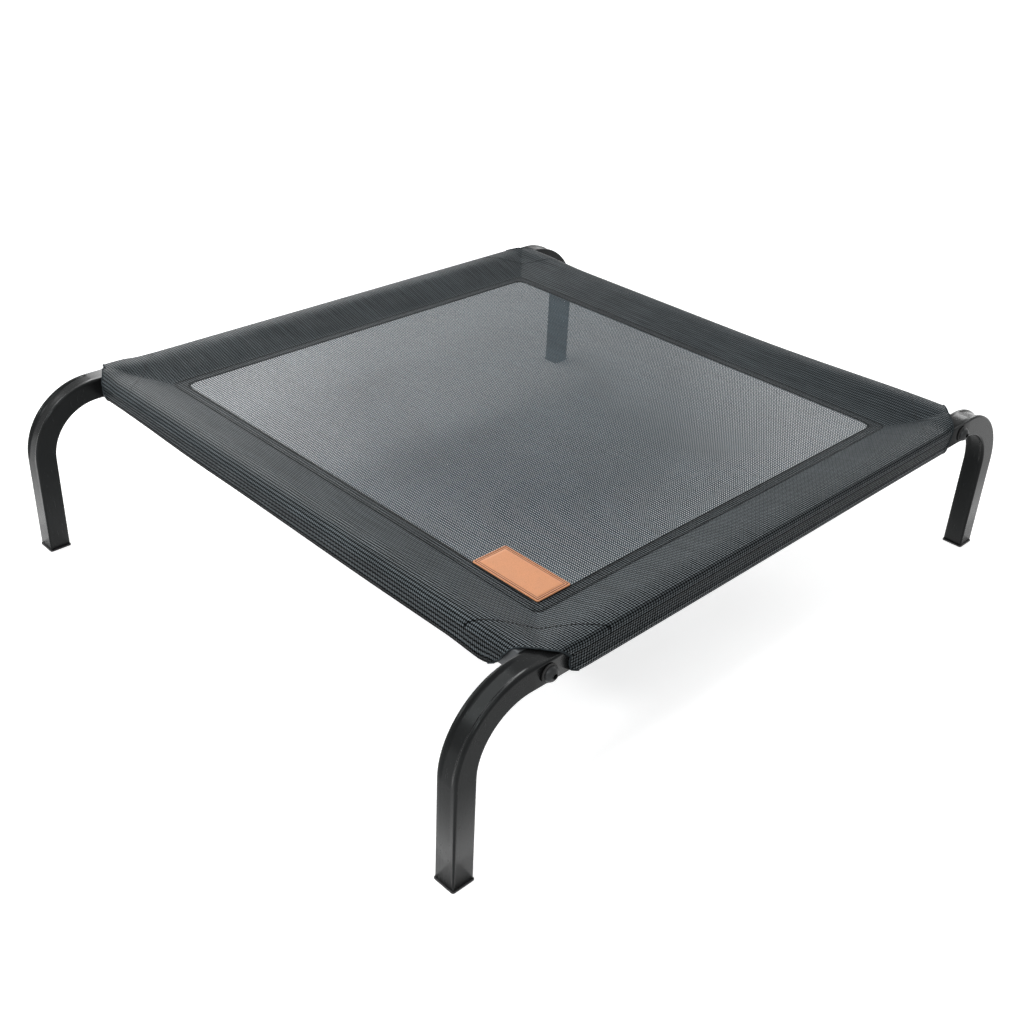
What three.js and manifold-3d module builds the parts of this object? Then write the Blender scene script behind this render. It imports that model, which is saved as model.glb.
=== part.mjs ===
// Raised dog bed: a square-tube steel frame on four press-bent legs, with a mesh cover stretched over it.
// Millimetres. +X runs along the side rails, +Y along the cross rails, +Z up.
// The origin is on the floor, under the middle of the bed. Front is -Y, left is -X.
import * as THREE from 'three';
import { mergeVertices } from 'three/addons/utils/BufferGeometryUtils.js';
import Module from 'manifold-3d';

// Square steel tube, the same for the legs and the rails
const TUBE = 25.4;
const TUBE_WALL = 1.2;
const TUBE_CORNER = 2.5;

// Layout of the frame, between centrelines
const CROSS_RAIL_SPACING = 699;
const SIDE_RAIL_SPACING = 734.6;
const FOOT_SPACING = 884.6;
const RAIL_HEIGHT = 193.3;

// Legs: a quarter bend, with its outer and inner walls dished by the press
const BEND_RADIUS = 73;
const OUTER_DISH = 2.4;
const INNER_DISH = 3.2;
const DISH_BLUNTNESS = 0.7;
const ARM_PAST_BOLT = 29;

// Side rails: each end is swaged down to a spigot that slides into a leg's arm
const SPIGOT_PAST_BOLT = 13;
const SPIGOT_SHOULDER = 1.5;
const SPIGOT_FIT = 0.35;

// Foot caps: a ribbed plug pressed into the leg, and a flange under the tube's end
const CAP_FLANGE = 2.2;
const CAP_OVERHANG = 0.8;
const CAP_EDGE = 0.5;
const CAP_PLUG_DEPTH = 16;
const CAP_PLUG_WALL = 2;
const CAP_RIBS = 2;
const CAP_RIB_HEIGHT = 0.8;
const CAP_RIB_WIDTH = 1.2;

// Fasteners: a domed socket bolt and a washer at each corner, and a threaded insert in the cross rail
const BOLT_DIAMETER = 6;
const BOLT_LENGTH = 50;
const BOLT_HEAD_DIAMETER = 16;
const BOLT_HEAD_HEIGHT = 6;
const BOLT_HEAD_RIM = 1.2;
const BOLT_HEAD_SHOULDER = 6.2;
const BOLT_POINT = 0.8;
const SOCKET_ACROSS_CORNERS = 5.8;
const SOCKET_DEPTH = 3;
const SOCKET_SIDES = 6;
const WASHER_DIAMETER = 19;
const WASHER_THICKNESS = 2;
const BOLT_HOLE_FIT = 0.35;
const INSERT_LENGTH = 30;
const INSERT_FIT = 0.35;

// Cover: one sheet, folded round each rail into a sleeve and sewn back to itself along a flat hem.
// A border runs from the rail's outer face to the edge of the see-through window.
const SHEET = 1;
const SEAM_GAP = 0.2;
const HEM_THICKNESS = 2 * SHEET + SEAM_GAP;
const HEM_WIDTH = 12;
const BORDER = 80;
const SIDE_MOUTH_SETBACK = 1;
const END_MOUTH_SETBACK = 22;

// Label: a leather patch sewn on in one corner of the window
const LABEL_LENGTH = 90;
const LABEL_WIDTH = 45;
const LABEL_THICKNESS = 1.4;
const LABEL_CORNER = 2;
const LABEL_INSET = 1;

// Space left between pieces that touch
const CONTACT = 0.3;

// Fineness of round stretches
const CORNER_STEPS = 3;
const DISH_STEPS = 4;
const BEND_STEPS = 14;
const ROUND_SEGMENTS = 20;
const SMALL_ARC_STEPS = 2;
const DOME_STEPS = 4;

const QUARTER = Math.PI / 2;
const HALF = TUBE / 2;
const BORE = HALF - TUBE_WALL;
const CROSS_X = CROSS_RAIL_SPACING / 2;
const SIDE_Y = SIDE_RAIL_SPACING / 2;
const FOOT_X = FOOT_SPACING / 2;
const ARM_END_X = CROSS_X - ARM_PAST_BOLT;
const BOLT_HOLE_RADIUS = BOLT_DIAMETER / 2 + BOLT_HOLE_FIT;
const WINDOW_X = CROSS_X + HALF - BORDER;
const WINDOW_Y = SIDE_Y + HALF - BORDER;

const powderCoat = { color: 0x1b1c1e, roughness: 0.42, metalness: 0.35 };
const blackPlastic = { color: 0x161617, roughness: 0.65, metalness: 0 };
const blackRubber = { color: 0x101011, roughness: 0.8, metalness: 0 };
const blackSteel = { color: 0x1a1b1d, roughness: 0.35, metalness: 0.8 };
const greyNylon = { color: 0x2a2a2b, roughness: 0.7, metalness: 0 };
const meshCloth = { color: 0x3a3d40, roughness: 0.8, metalness: 0 };
const tanLeather = { color: 0xc98a55, roughness: 0.6, metalness: 0 };

const wasm = await Module();
wasm.setup();

// Joining and cutting closed solids

function toSolid(geometry) {
  const bare = geometry.clone();
  bare.deleteAttribute('normal');
  bare.deleteAttribute('uv');
  const merged = mergeVertices(bare, 1e-4);
  return new wasm.Manifold(new wasm.Mesh({
    numProp: 3,
    vertProperties: new Float32Array(merged.attributes.position.array),
    triVerts: new Uint32Array(merged.index.array),
  }));
}

function toGeometry(solid) {
  const { vertProperties, triVerts } = solid.getMesh();
  const geometry = new THREE.BufferGeometry();
  geometry.setAttribute('position', new THREE.Float32BufferAttribute(vertProperties, 3));
  geometry.setIndex(new THREE.Uint32BufferAttribute(triVerts, 1));
  geometry.computeVertexNormals();
  return geometry;
}

function join(geometries) {
  return toGeometry(geometries.map(toSolid).reduce((sum, solid) => sum.add(solid)));
}

function cut(geometry, tools) {
  return toGeometry(tools.map(toSolid).reduce((rest, tool) => rest.subtract(tool), toSolid(geometry)));
}

function common(geometry, limits) {
  return toGeometry(toSolid(geometry).intersect(toSolid(limits)));
}

// Outlines and straight blanks

// A square with round corners. Its top and bottom are split into wallSteps, so that they can be dished.
function roundedSquare(half, radius, wallSteps = 1) {
  const flat = half - radius;
  const centre = new THREE.Vector2();
  const points = [];
  function add(x, y, corner) {
    points.push(new THREE.Vector2(x, y).rotateAround(centre, corner * QUARTER));
  }
  for (let corner = 0; corner < 4; corner++) {
    for (let step = 0; step <= CORNER_STEPS; step++) {
      const angle = (step / CORNER_STEPS) * QUARTER;
      add(flat + radius * Math.cos(angle), flat + radius * Math.sin(angle), corner);
    }
    const sideSteps = corner % 2 === 0 ? wallSteps : 1;
    for (let step = 1; step < sideSteps; step++) {
      add(flat - 2 * flat * (step / sideSteps), half, corner);
    }
  }
  return points;
}

function tubeSection(half, wall, radius, wallSteps) {
  const section = new THREE.Shape(roundedSquare(half, radius, wallSteps));
  const boreRadius = Math.max(radius - wall, wall / 2);
  section.holes.push(new THREE.Path(roundedSquare(half - wall, boreRadius, wallSteps)));
  return section;
}

// Extrudes a section through the given distances along Z
function blank(section, stations) {
  const spans = stations.length - 1;
  const geometry = new THREE.ExtrudeGeometry(section, { depth: spans, steps: spans, bevelEnabled: false });
  return reshape(geometry, (point) => point.setZ(stations[Math.round(point.z)]));
}

function reshape(geometry, move) {
  const position = geometry.attributes.position;
  const point = new THREE.Vector3();
  for (let i = 0; i < position.count; i++) {
    move(point.fromBufferAttribute(position, i));
    position.setXYZ(i, point.x, point.y, point.z);
  }
  geometry.computeVertexNormals();
  return geometry;
}

// A drill along Y
function boltDrill(x, length) {
  return new THREE.CylinderGeometry(BOLT_HOLE_RADIUS, BOLT_HOLE_RADIUS, length, ROUND_SEGMENTS)
    .translate(x, 0, RAIL_HEIGHT);
}

// Legs

// How far the press moves a wall of the tube towards its centre. Most is in the middle of wall and bend.
function pressedDepth(across, side, turn) {
  const reach = HALF - TUBE_CORNER;
  if (turn <= 0 || turn >= 1 || Math.abs(across) >= reach) return 0;
  const depth = side > 0 ? OUTER_DISH : INNER_DISH;
  const alongBend = Math.sin(Math.PI * turn) ** DISH_BLUNTNESS;
  const acrossWall = Math.cos((across / reach) * QUARTER) ** 2;
  return depth * alongBend * acrossWall;
}

// A right-hand leg, its tube centred on Y = 0: up from the foot, round the bend and in along the arm
function legGeometry() {
  const footEnd = CAP_FLANGE + CONTACT;
  const upright = RAIL_HEIGHT - BEND_RADIUS - footEnd;
  const bend = BEND_RADIUS * QUARTER;
  const arm = FOOT_X - BEND_RADIUS - ARM_END_X;
  const stations = [0];
  for (let step = 0; step <= BEND_STEPS; step++) {
    stations.push(upright + bend * (step / BEND_STEPS));
  }
  stations.push(upright + bend + arm);

  const tube = blank(tubeSection(HALF, TUBE_WALL, TUBE_CORNER, DISH_STEPS), stations);
  reshape(tube, (point) => {
    const { x: across, y: side, z: along } = point;
    const turn = THREE.MathUtils.clamp((along - upright) / bend, 0, 1);
    const outward = side - Math.sign(side) * pressedDepth(across, side, turn);
    const angle = turn * QUARTER;
    const radius = BEND_RADIUS + outward;
    const pastBend = Math.max(along - upright - bend, 0);
    const belowBend = Math.max(upright - along, 0);
    point.set(
      FOOT_X - BEND_RADIUS + radius * Math.cos(angle) - pastBend,
      -across,
      RAIL_HEIGHT - BEND_RADIUS + radius * Math.sin(angle) - belowBend,
    );
  });
  return cut(tube, [boltDrill(CROSS_X, 2 * TUBE)]);
}

function footCapGeometry() {
  const flangeHalf = HALF + CAP_OVERHANG - CAP_EDGE;
  const flangeOutline = new THREE.Shape(roundedSquare(flangeHalf, TUBE_CORNER - CAP_EDGE));
  const flange = new THREE.ExtrudeGeometry(flangeOutline, {
    depth: CAP_FLANGE - 2 * CAP_EDGE,
    bevelThickness: CAP_EDGE,
    bevelSize: CAP_EDGE,
    bevelSegments: 2,
  }).translate(0, 0, CAP_EDGE);

  const ribHalf = BORE - CONTACT;
  const plugSection = tubeSection(ribHalf - CAP_RIB_HEIGHT, CAP_PLUG_WALL, TUBE_CORNER / 2);
  const plug = blank(plugSection, [CAP_FLANGE / 2, CAP_FLANGE + CAP_PLUG_DEPTH]);
  const ribSection = tubeSection(ribHalf, CAP_RIB_HEIGHT + CAP_PLUG_WALL / 2, TUBE_CORNER / 2);
  const ribs = [];
  for (let rib = 1; rib <= CAP_RIBS; rib++) {
    const height = CAP_FLANGE + (CAP_PLUG_DEPTH * rib) / (CAP_RIBS + 1);
    ribs.push(blank(ribSection, [height, height + CAP_RIB_WIDTH]));
  }
  return join([flange, plug, ...ribs]);
}

// Rails

// Along X, with both ends swaged to spigots and drilled for the bolts
function sideRailGeometry() {
  const tip = CROSS_X + SPIGOT_PAST_BOLT;
  const shoulder = ARM_END_X - CONTACT;
  const body = shoulder - SPIGOT_SHOULDER;
  const swage = (BORE - SPIGOT_FIT) / HALF;
  const section = tubeSection(HALF, TUBE_WALL, TUBE_CORNER);
  const tube = blank(section, [-tip, -shoulder, -body, body, shoulder, tip]);
  reshape(tube, (point) => {
    const scale = Math.abs(point.z) > body + SPIGOT_SHOULDER / 2 ? swage : 1;
    point.set(point.z, point.x * scale, point.y * scale + RAIL_HEIGHT);
  });
  return cut(tube, [boltDrill(-CROSS_X, 2 * TUBE), boltDrill(CROSS_X, 2 * TUBE)]);
}

// Along Y, between the inner faces of the two arms
function crossRailHalfLength() {
  return SIDE_Y - HALF - CONTACT;
}

function crossRailGeometry() {
  const end = crossRailHalfLength();
  const section = tubeSection(HALF, TUBE_WALL, TUBE_CORNER);
  return blank(section, [-end, end]).rotateX(QUARTER).translate(0, 0, RAIL_HEIGHT);
}

// Fills a cross rail's rear end and takes the bolt
function railInsertGeometry() {
  const end = crossRailHalfLength();
  const section = new THREE.Shape(roundedSquare(BORE - INSERT_FIT, TUBE_CORNER / 2));
  const block = blank(section, [-end, INSERT_LENGTH - end]).rotateX(QUARTER).translate(0, 0, RAIL_HEIGHT);
  return cut(block, [boltDrill(0, 2 * SIDE_RAIL_SPACING)]);
}

// Fasteners, on the rear side's outer face, with their axis along Y

function washerGeometry() {
  const face = SIDE_Y + HALF + CONTACT;
  const profile = [
    new THREE.Vector2(BOLT_HOLE_RADIUS, 0),
    new THREE.Vector2(WASHER_DIAMETER / 2, 0),
    new THREE.Vector2(WASHER_DIAMETER / 2, WASHER_THICKNESS),
    new THREE.Vector2(BOLT_HOLE_RADIUS, WASHER_THICKNESS),
    new THREE.Vector2(BOLT_HOLE_RADIUS, 0),
  ];
  return new THREE.LatheGeometry(profile, ROUND_SEGMENTS).translate(0, face, RAIL_HEIGHT);
}

function boltGeometry() {
  const underHead = SIDE_Y + HALF + CONTACT + WASHER_THICKNESS + CONTACT;
  const shank = BOLT_DIAMETER / 2;
  const profile = new THREE.Path();
  profile.moveTo(0, -BOLT_LENGTH);
  profile.lineTo(shank - BOLT_POINT, -BOLT_LENGTH);
  profile.lineTo(shank, BOLT_POINT - BOLT_LENGTH);
  profile.lineTo(shank, 0);
  profile.lineTo(BOLT_HEAD_DIAMETER / 2, 0);
  profile.lineTo(BOLT_HEAD_DIAMETER / 2, BOLT_HEAD_RIM);
  profile.quadraticCurveTo(BOLT_HEAD_SHOULDER, BOLT_HEAD_HEIGHT, 0, BOLT_HEAD_HEIGHT);
  const body = new THREE.LatheGeometry(profile.getPoints(DOME_STEPS), ROUND_SEGMENTS);
  const key = SOCKET_ACROSS_CORNERS / 2;
  const socket = new THREE.CylinderGeometry(key, key, 2 * SOCKET_DEPTH, SOCKET_SIDES)
    .translate(0, BOLT_HEAD_HEIGHT, 0);
  return cut(body, [socket]).translate(0, underHead, RAIL_HEIGHT);
}

// Cover

// Section of a sleeve, across its rail: round the tube at an offset, and down each flank to a tip.
// The flanks leave the tube's corners at a tangent.
function sleeveSection(railCentre, tip, tipHalf, offset) {
  const radius = TUBE_CORNER + offset;
  const flat = HALF - TUBE_CORNER;
  const toTip = new THREE.Vector2(tip - (railCentre - flat), tipHalf - flat);
  const tangent = toTip.angle() - Math.acos(radius / toTip.length());
  const section = new THREE.Shape();
  section.moveTo(tip, tipHalf);
  section.lineTo(tip, -tipHalf);
  section.absarc(railCentre - flat, -flat, radius, -tangent, -QUARTER, false);
  section.absarc(railCentre + flat, -flat, radius, -QUARTER, 0, false);
  section.absarc(railCentre + flat, flat, radius, 0, QUARTER, false);
  section.absarc(railCentre - flat, flat, radius, QUARTER, tangent, false);
  section.closePath();
  return section;
}

// A sleeve's solid on the +X side, running along Y between -halfLength and halfLength
function sleeveSolid(section, halfLength) {
  const settings = { depth: 2 * halfLength, curveSegments: SMALL_ARC_STEPS, bevelEnabled: false };
  return new THREE.ExtrudeGeometry(section, settings).translate(0, 0, -halfLength).rotateX(QUARTER);
}

// The four sleeves, or the four hollows inside them, meeting in the corners
function sleeveRing(tipX, tipY, tipHalf, offset) {
  const end = sleeveSolid(sleeveSection(CROSS_X, tipX, tipHalf, offset), SIDE_Y);
  const side = sleeveSolid(sleeveSection(SIDE_Y, tipY, tipHalf, offset), CROSS_X);
  return [
    end,
    side.clone().rotateZ(QUARTER),
    end.clone().rotateZ(2 * QUARTER),
    side.clone().rotateZ(3 * QUARTER),
  ];
}

function coverGeometry() {
  const hemX = WINDOW_X + HEM_WIDTH;
  const hemY = WINDOW_Y + HEM_WIDTH;
  const outerX = CROSS_X + HALF + CONTACT + SHEET;
  const outerY = SIDE_Y + HALF + CONTACT + SHEET;
  const mouthX = ARM_END_X - SIDE_MOUTH_SETBACK;
  const mouthY = SIDE_Y - END_MOUTH_SETBACK;

  const hem = new THREE.BoxGeometry(2 * hemX, 2 * hemY, HEM_THICKNESS);
  const sheet = join([hem, ...sleeveRing(hemX, hemY, HEM_THICKNESS / 2, CONTACT + SHEET)]);
  const pocket = new THREE.BoxGeometry(2 * WINDOW_X, 2 * WINDOW_Y, HEM_THICKNESS);
  const pocketShift = (SHEET + HEM_THICKNESS) / 2;
  const hollows = sleeveRing(hemX + SHEET, hemY + SHEET, SEAM_GAP / 2, CONTACT);
  const sewn = cut(sheet, [
    pocket.clone().translate(0, 0, pocketShift),
    pocket.clone().translate(0, 0, -pocketShift),
    ...hollows,
  ]);

  // The corners are cut away so that the arms come out and the bolts can be reached
  const outline = new THREE.Shape();
  outline.moveTo(outerX, mouthY);
  outline.lineTo(mouthX, outerY);
  outline.lineTo(-mouthX, outerY);
  outline.lineTo(-outerX, mouthY);
  outline.lineTo(-outerX, -mouthY);
  outline.lineTo(-mouthX, -outerY);
  outline.lineTo(mouthX, -outerY);
  outline.lineTo(outerX, -mouthY);
  outline.closePath();
  const limits = new THREE.ExtrudeGeometry(outline, { depth: 4 * TUBE, bevelEnabled: false })
    .translate(0, 0, -2 * TUBE);
  return common(sewn, limits).translate(0, 0, RAIL_HEIGHT);
}

function labelGeometry() {
  const halfWidth = LABEL_WIDTH / 2 - LABEL_CORNER;
  const halfLength = LABEL_LENGTH / 2 - LABEL_CORNER;
  const outline = new THREE.Shape();
  outline.absarc(halfWidth, halfLength, LABEL_CORNER, 0, QUARTER, false);
  outline.absarc(-halfWidth, halfLength, LABEL_CORNER, QUARTER, 2 * QUARTER, false);
  outline.absarc(-halfWidth, -halfLength, LABEL_CORNER, 2 * QUARTER, 3 * QUARTER, false);
  outline.absarc(halfWidth, -halfLength, LABEL_CORNER, 3 * QUARTER, 4 * QUARTER, false);
  const settings = { depth: LABEL_THICKNESS, curveSegments: SMALL_ARC_STEPS, bevelEnabled: false };
  return new THREE.ExtrudeGeometry(outline, settings);
}

// Assembly

const bed = new THREE.Group();

function place(name, geometry, finish, x = 0, y = 0, z = 0, turn = 0) {
  const piece = new THREE.Mesh(geometry, new THREE.MeshStandardMaterial(finish));
  piece.name = name;
  piece.position.set(x, y, z);
  piece.rotation.z = turn;
  bed.add(piece);
}

const shapes = {
  leg: legGeometry(),
  footCap: footCapGeometry(),
  washer: washerGeometry(),
  bolt: boltGeometry(),
  railInsert: railInsertGeometry(),
  sideRail: sideRailGeometry(),
  crossRail: crossRailGeometry(),
};

for (const [sideName, side] of [['front', -1], ['rear', 1]]) {
  const facing = side < 0 ? Math.PI : 0;
  for (const [endName, end] of [['left', -1], ['right', 1]]) {
    const corner = `${sideName}_${endName}`;
    place(`leg_${corner}`, shapes.leg, powderCoat, 0, side * SIDE_Y, 0, end < 0 ? Math.PI : 0);
    place(`foot_cap_${corner}`, shapes.footCap, blackPlastic, end * FOOT_X, side * SIDE_Y);
    place(`washer_${corner}`, shapes.washer, blackRubber, end * CROSS_X, 0, 0, facing);
    place(`bolt_${corner}`, shapes.bolt, blackSteel, end * CROSS_X, 0, 0, facing);
    place(`rail_insert_${corner}`, shapes.railInsert, greyNylon, end * CROSS_X, 0, 0, facing);
  }
  place(`side_rail_${sideName}`, shapes.sideRail, powderCoat, 0, side * SIDE_Y);
}
place('cross_rail_left', shapes.crossRail, powderCoat, -CROSS_X);
place('cross_rail_right', shapes.crossRail, powderCoat, CROSS_X);

place('fabric_cover', coverGeometry(), meshCloth);
place(
  'leather_label',
  labelGeometry(),
  tanLeather,
  LABEL_INSET + LABEL_WIDTH / 2 - WINDOW_X,
  LABEL_INSET + LABEL_LENGTH / 2 - WINDOW_Y,
  RAIL_HEIGHT + SHEET / 2 + CONTACT,
);

export default bed;
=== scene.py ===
"""A raised dog bed: a mesh cover stretched on a square-tube steel frame with four press-bent legs.

Metres. +X runs along the side rails, +Y along the cross rails and +Z up. Front is -Y and left is -X.
"""

import math

import bmesh
import bpy
from mathutils import Matrix, Vector, noise


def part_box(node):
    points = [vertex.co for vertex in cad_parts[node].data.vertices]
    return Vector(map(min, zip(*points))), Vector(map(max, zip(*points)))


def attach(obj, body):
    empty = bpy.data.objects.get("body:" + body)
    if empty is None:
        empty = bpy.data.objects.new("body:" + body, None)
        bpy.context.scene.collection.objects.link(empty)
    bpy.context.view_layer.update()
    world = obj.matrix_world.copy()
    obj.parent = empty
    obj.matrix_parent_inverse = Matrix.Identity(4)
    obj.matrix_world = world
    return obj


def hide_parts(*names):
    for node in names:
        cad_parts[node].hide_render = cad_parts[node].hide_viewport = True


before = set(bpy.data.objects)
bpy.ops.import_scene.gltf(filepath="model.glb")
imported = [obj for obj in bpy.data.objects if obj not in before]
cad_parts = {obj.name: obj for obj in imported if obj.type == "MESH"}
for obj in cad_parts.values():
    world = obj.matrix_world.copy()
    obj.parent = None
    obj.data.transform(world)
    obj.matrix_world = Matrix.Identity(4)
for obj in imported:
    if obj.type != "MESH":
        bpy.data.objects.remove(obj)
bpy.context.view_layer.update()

bl_info = {
    "name": "Raised Dog Bed",
    "version": (1, 0, 0),
    "blender": (4, 5, 0),
    "location": "View3D > Sidebar > Dog Bed",
    "description": "Builds the frame, mesh cover and leather label of a raised dog bed",
    "category": "Object",
}

BODY = "root"
MM = 0.001
CORNERS = [
    (f"{side}_{end}", x, y)
    for side, y in (("front", -1), ("rear", 1))
    for end, x in (("left", -1), ("right", 1))
]


def centre(node):
    low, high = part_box(node)
    return (low + high) / 2


# Places taken from the frame
RAIL_Z = centre("cross_rail_left").z
CROSS_X = centre("cross_rail_right").x
SIDE_Y = centre("side_rail_rear").y
FOOT_X = centre("foot_cap_rear_right").x
RAIL_LOW, RAIL_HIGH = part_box("cross_rail_right")
HALF = (RAIL_HIGH.x - RAIL_LOW.x) / 2
ARM_END_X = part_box("leg_rear_right")[0].x
LEG_FOOT_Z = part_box("leg_rear_right")[0].z
CROSS_RAIL_END = RAIL_HIGH.y
SPIGOT_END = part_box("side_rail_rear")[1].x
LABEL_SHIFT = Vector((-2.3 * MM, -1.6 * MM, 0))
LABEL_LOW, LABEL_HIGH = (corner + LABEL_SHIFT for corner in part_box("leather_label"))


# Settings


def length(name, description, default):
    return bpy.props.FloatProperty(name=name, description=description, default=default, unit="LENGTH")


def factor(name, description, default, low=0.0, high=1.0):
    return bpy.props.FloatProperty(
        name=name, description=description, default=default, min=low, max=high, subtype="FACTOR"
    )


def angle(name, description, degrees):
    return bpy.props.FloatProperty(
        name=name, description=description, default=math.radians(degrees), subtype="ANGLE"
    )


def colour(name, description, default):
    return bpy.props.FloatVectorProperty(
        name=name, description=description, default=default, size=3, min=0, max=1, subtype="COLOR"
    )


def power(name, description, watts):
    return bpy.props.FloatProperty(name=name, description=description, default=watts, unit="POWER")


class BedFrameSettings(bpy.types.PropertyGroup):
    """Steel tube, feet and fasteners"""

    tube_wall: length("Tube wall", "Thickness of the steel", 1.2 * MM)
    tube_corner: length("Tube corner", "Outside radius of the tube's corners", 2.5 * MM)
    bend_radius: length("Bend radius", "Radius of a leg's bend, to the middle of the tube", 73 * MM)
    outer_dish: length("Outer dish", "How far the press sinks the outside of the bend", 2.8 * MM)
    inner_dish: length("Inner dish", "How far the press sinks the inside of the bend", 3.2 * MM)
    powder_coat: colour("Powder coat", "Colour of the legs and rails", (0.009, 0.0093, 0.0096))
    coat_roughness: factor("Coat roughness", "Roughness of the powder coat", 0.25)
    coat_gloss: factor("Coat gloss", "Strength of the powder coat's gloss", 0.115)
    plastic: colour("Plastic", "Colour of the foot caps", (0.007, 0.007, 0.0075))
    rubber: colour("Rubber", "Colour of the washers", (0.006, 0.006, 0.006))
    bolt_steel: colour("Bolt steel", "Colour of the bolt heads", (0.018, 0.019, 0.02))
    nylon: colour("Nylon", "Colour of the rails' inserts", (0.03, 0.03, 0.031))


class BedCoverSettings(bpy.types.PropertyGroup):
    """Mesh cloth, its hem and its stitching"""

    hem_width: length("Hem width", "Width of the sewn hem round the window", 12 * MM)
    hem_gap: length("Hem height", "How far a hem's ply lies from the window's sheet", 0.6 * MM)
    border: length("Border", "Width from the rail's outer face to the window", 80 * MM)
    fit: length("Fit", "Space between the top of a rail and the cloth", 2.4 * MM)
    long_pitch: length("Long pitch", "Spacing of the yarns that run front to back", 3.38 * MM)
    cross_pitch: length("Cross pitch", "Spacing of the yarns that run side to side", 2.5 * MM)
    yarn_share: factor("Yarn share", "Share of its pitch that a yarn covers", 0.645)
    yarn: colour("Yarn", "Colour of the yarns where they stand highest", (0.064, 0.076, 0.083))
    # Painted light: the window's yarns take a bluer copy of the yarn colour, for the light seen through them
    backlit_window_yarn: colour("Window yarn", "Colour of yarns with light behind them", (0.052, 0.076, 0.092))
    yarn_gloss: factor("Yarn gloss", "Gloss of the yarns where they stand highest", 0.16)
    corner_seam: length("Corner seam", "Where a corner's seam is: its X and Y, added", 655 * MM)
    rolled_edge: length("Rolled edge", "Radius of the rolled edge round each arm", 0.8 * MM)
    binding: factor("Binding", "Lightness of the rolled edges, as a share of the yarns'", 0.5)
    thread_pitch: length("Stitch pitch", "Length of one stitch", 3.2 * MM)
    thread: length("Thread", "Thickness of the sewing thread", 0.55 * MM)
    thread_colour: colour("Thread colour", "Colour of the sewing thread", (0.01, 0.01, 0.011))


class BedLabelSettings(bpy.types.PropertyGroup):
    """Leather label"""

    corner: length("Corner", "Radius of the label's corners", 2 * MM)
    groove: length("Groove", "Distance from the edge to the groove for the stitches", 1.7 * MM)
    line: length("Line", "Distance from the edge to the fine pressed line", 4.1 * MM)
    leather: colour("Leather", "Colour of the leather", (0.62, 0.266, 0.121))
    border: colour("Border", "Colour of the pressed border and its thread", (0.085, 0.024, 0.009))


class BedStageSettings(bpy.types.PropertyGroup):
    """Camera, floor and lamps"""

    azimuth: angle("Azimuth", "Camera's direction round the bed", -45.555)
    elevation: angle("Elevation", "Camera's height above the horizon", 30.846)
    roll: angle("Roll", "Camera's tilt", 2.857)
    distance: length("Distance", "From the camera to the bed's middle", 1.6653)
    across: length("Across", "Shift of the camera across its view", -0.009947)
    up: length("Up", "Shift of the camera up its view", 0.038271)
    lens: bpy.props.FloatProperty(
        name="Lens", description="Focal length in millimetres", default=45.97, subtype="NONE"
    )
    world: factor("World", "Strength of the white surroundings", 0.3, 0, 2)
    low_lamps: power("Low lamps", "Power of the low lamps to the right and rear", 40)
    front_lamp: power("Front lamp", "Power of the lamp off the front left corner", 10)
    top_lamp: power("Top lamp", "Power of the lamp above the bed's rear", 11)
    long_lamp: power("Long lamp", "Power of the long lamp over the bed's rear", 18)
    left_lamp: power("Left lamp", "Power of the lamp behind the bed's left", 14)
    side_lamp: power("Side lamp", "Power of the lamp to the bed's left", 20)
    right_lamp: power("Right lamp", "Power of the lamp to the bed's right", 12)
    floor: colour("Floor", "Colour of the floor", (0.8, 0.8, 0.8))
    floor_lift: factor("Floor lift", "Light added to the floor where it is seen", 0.12)


# Materials


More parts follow.
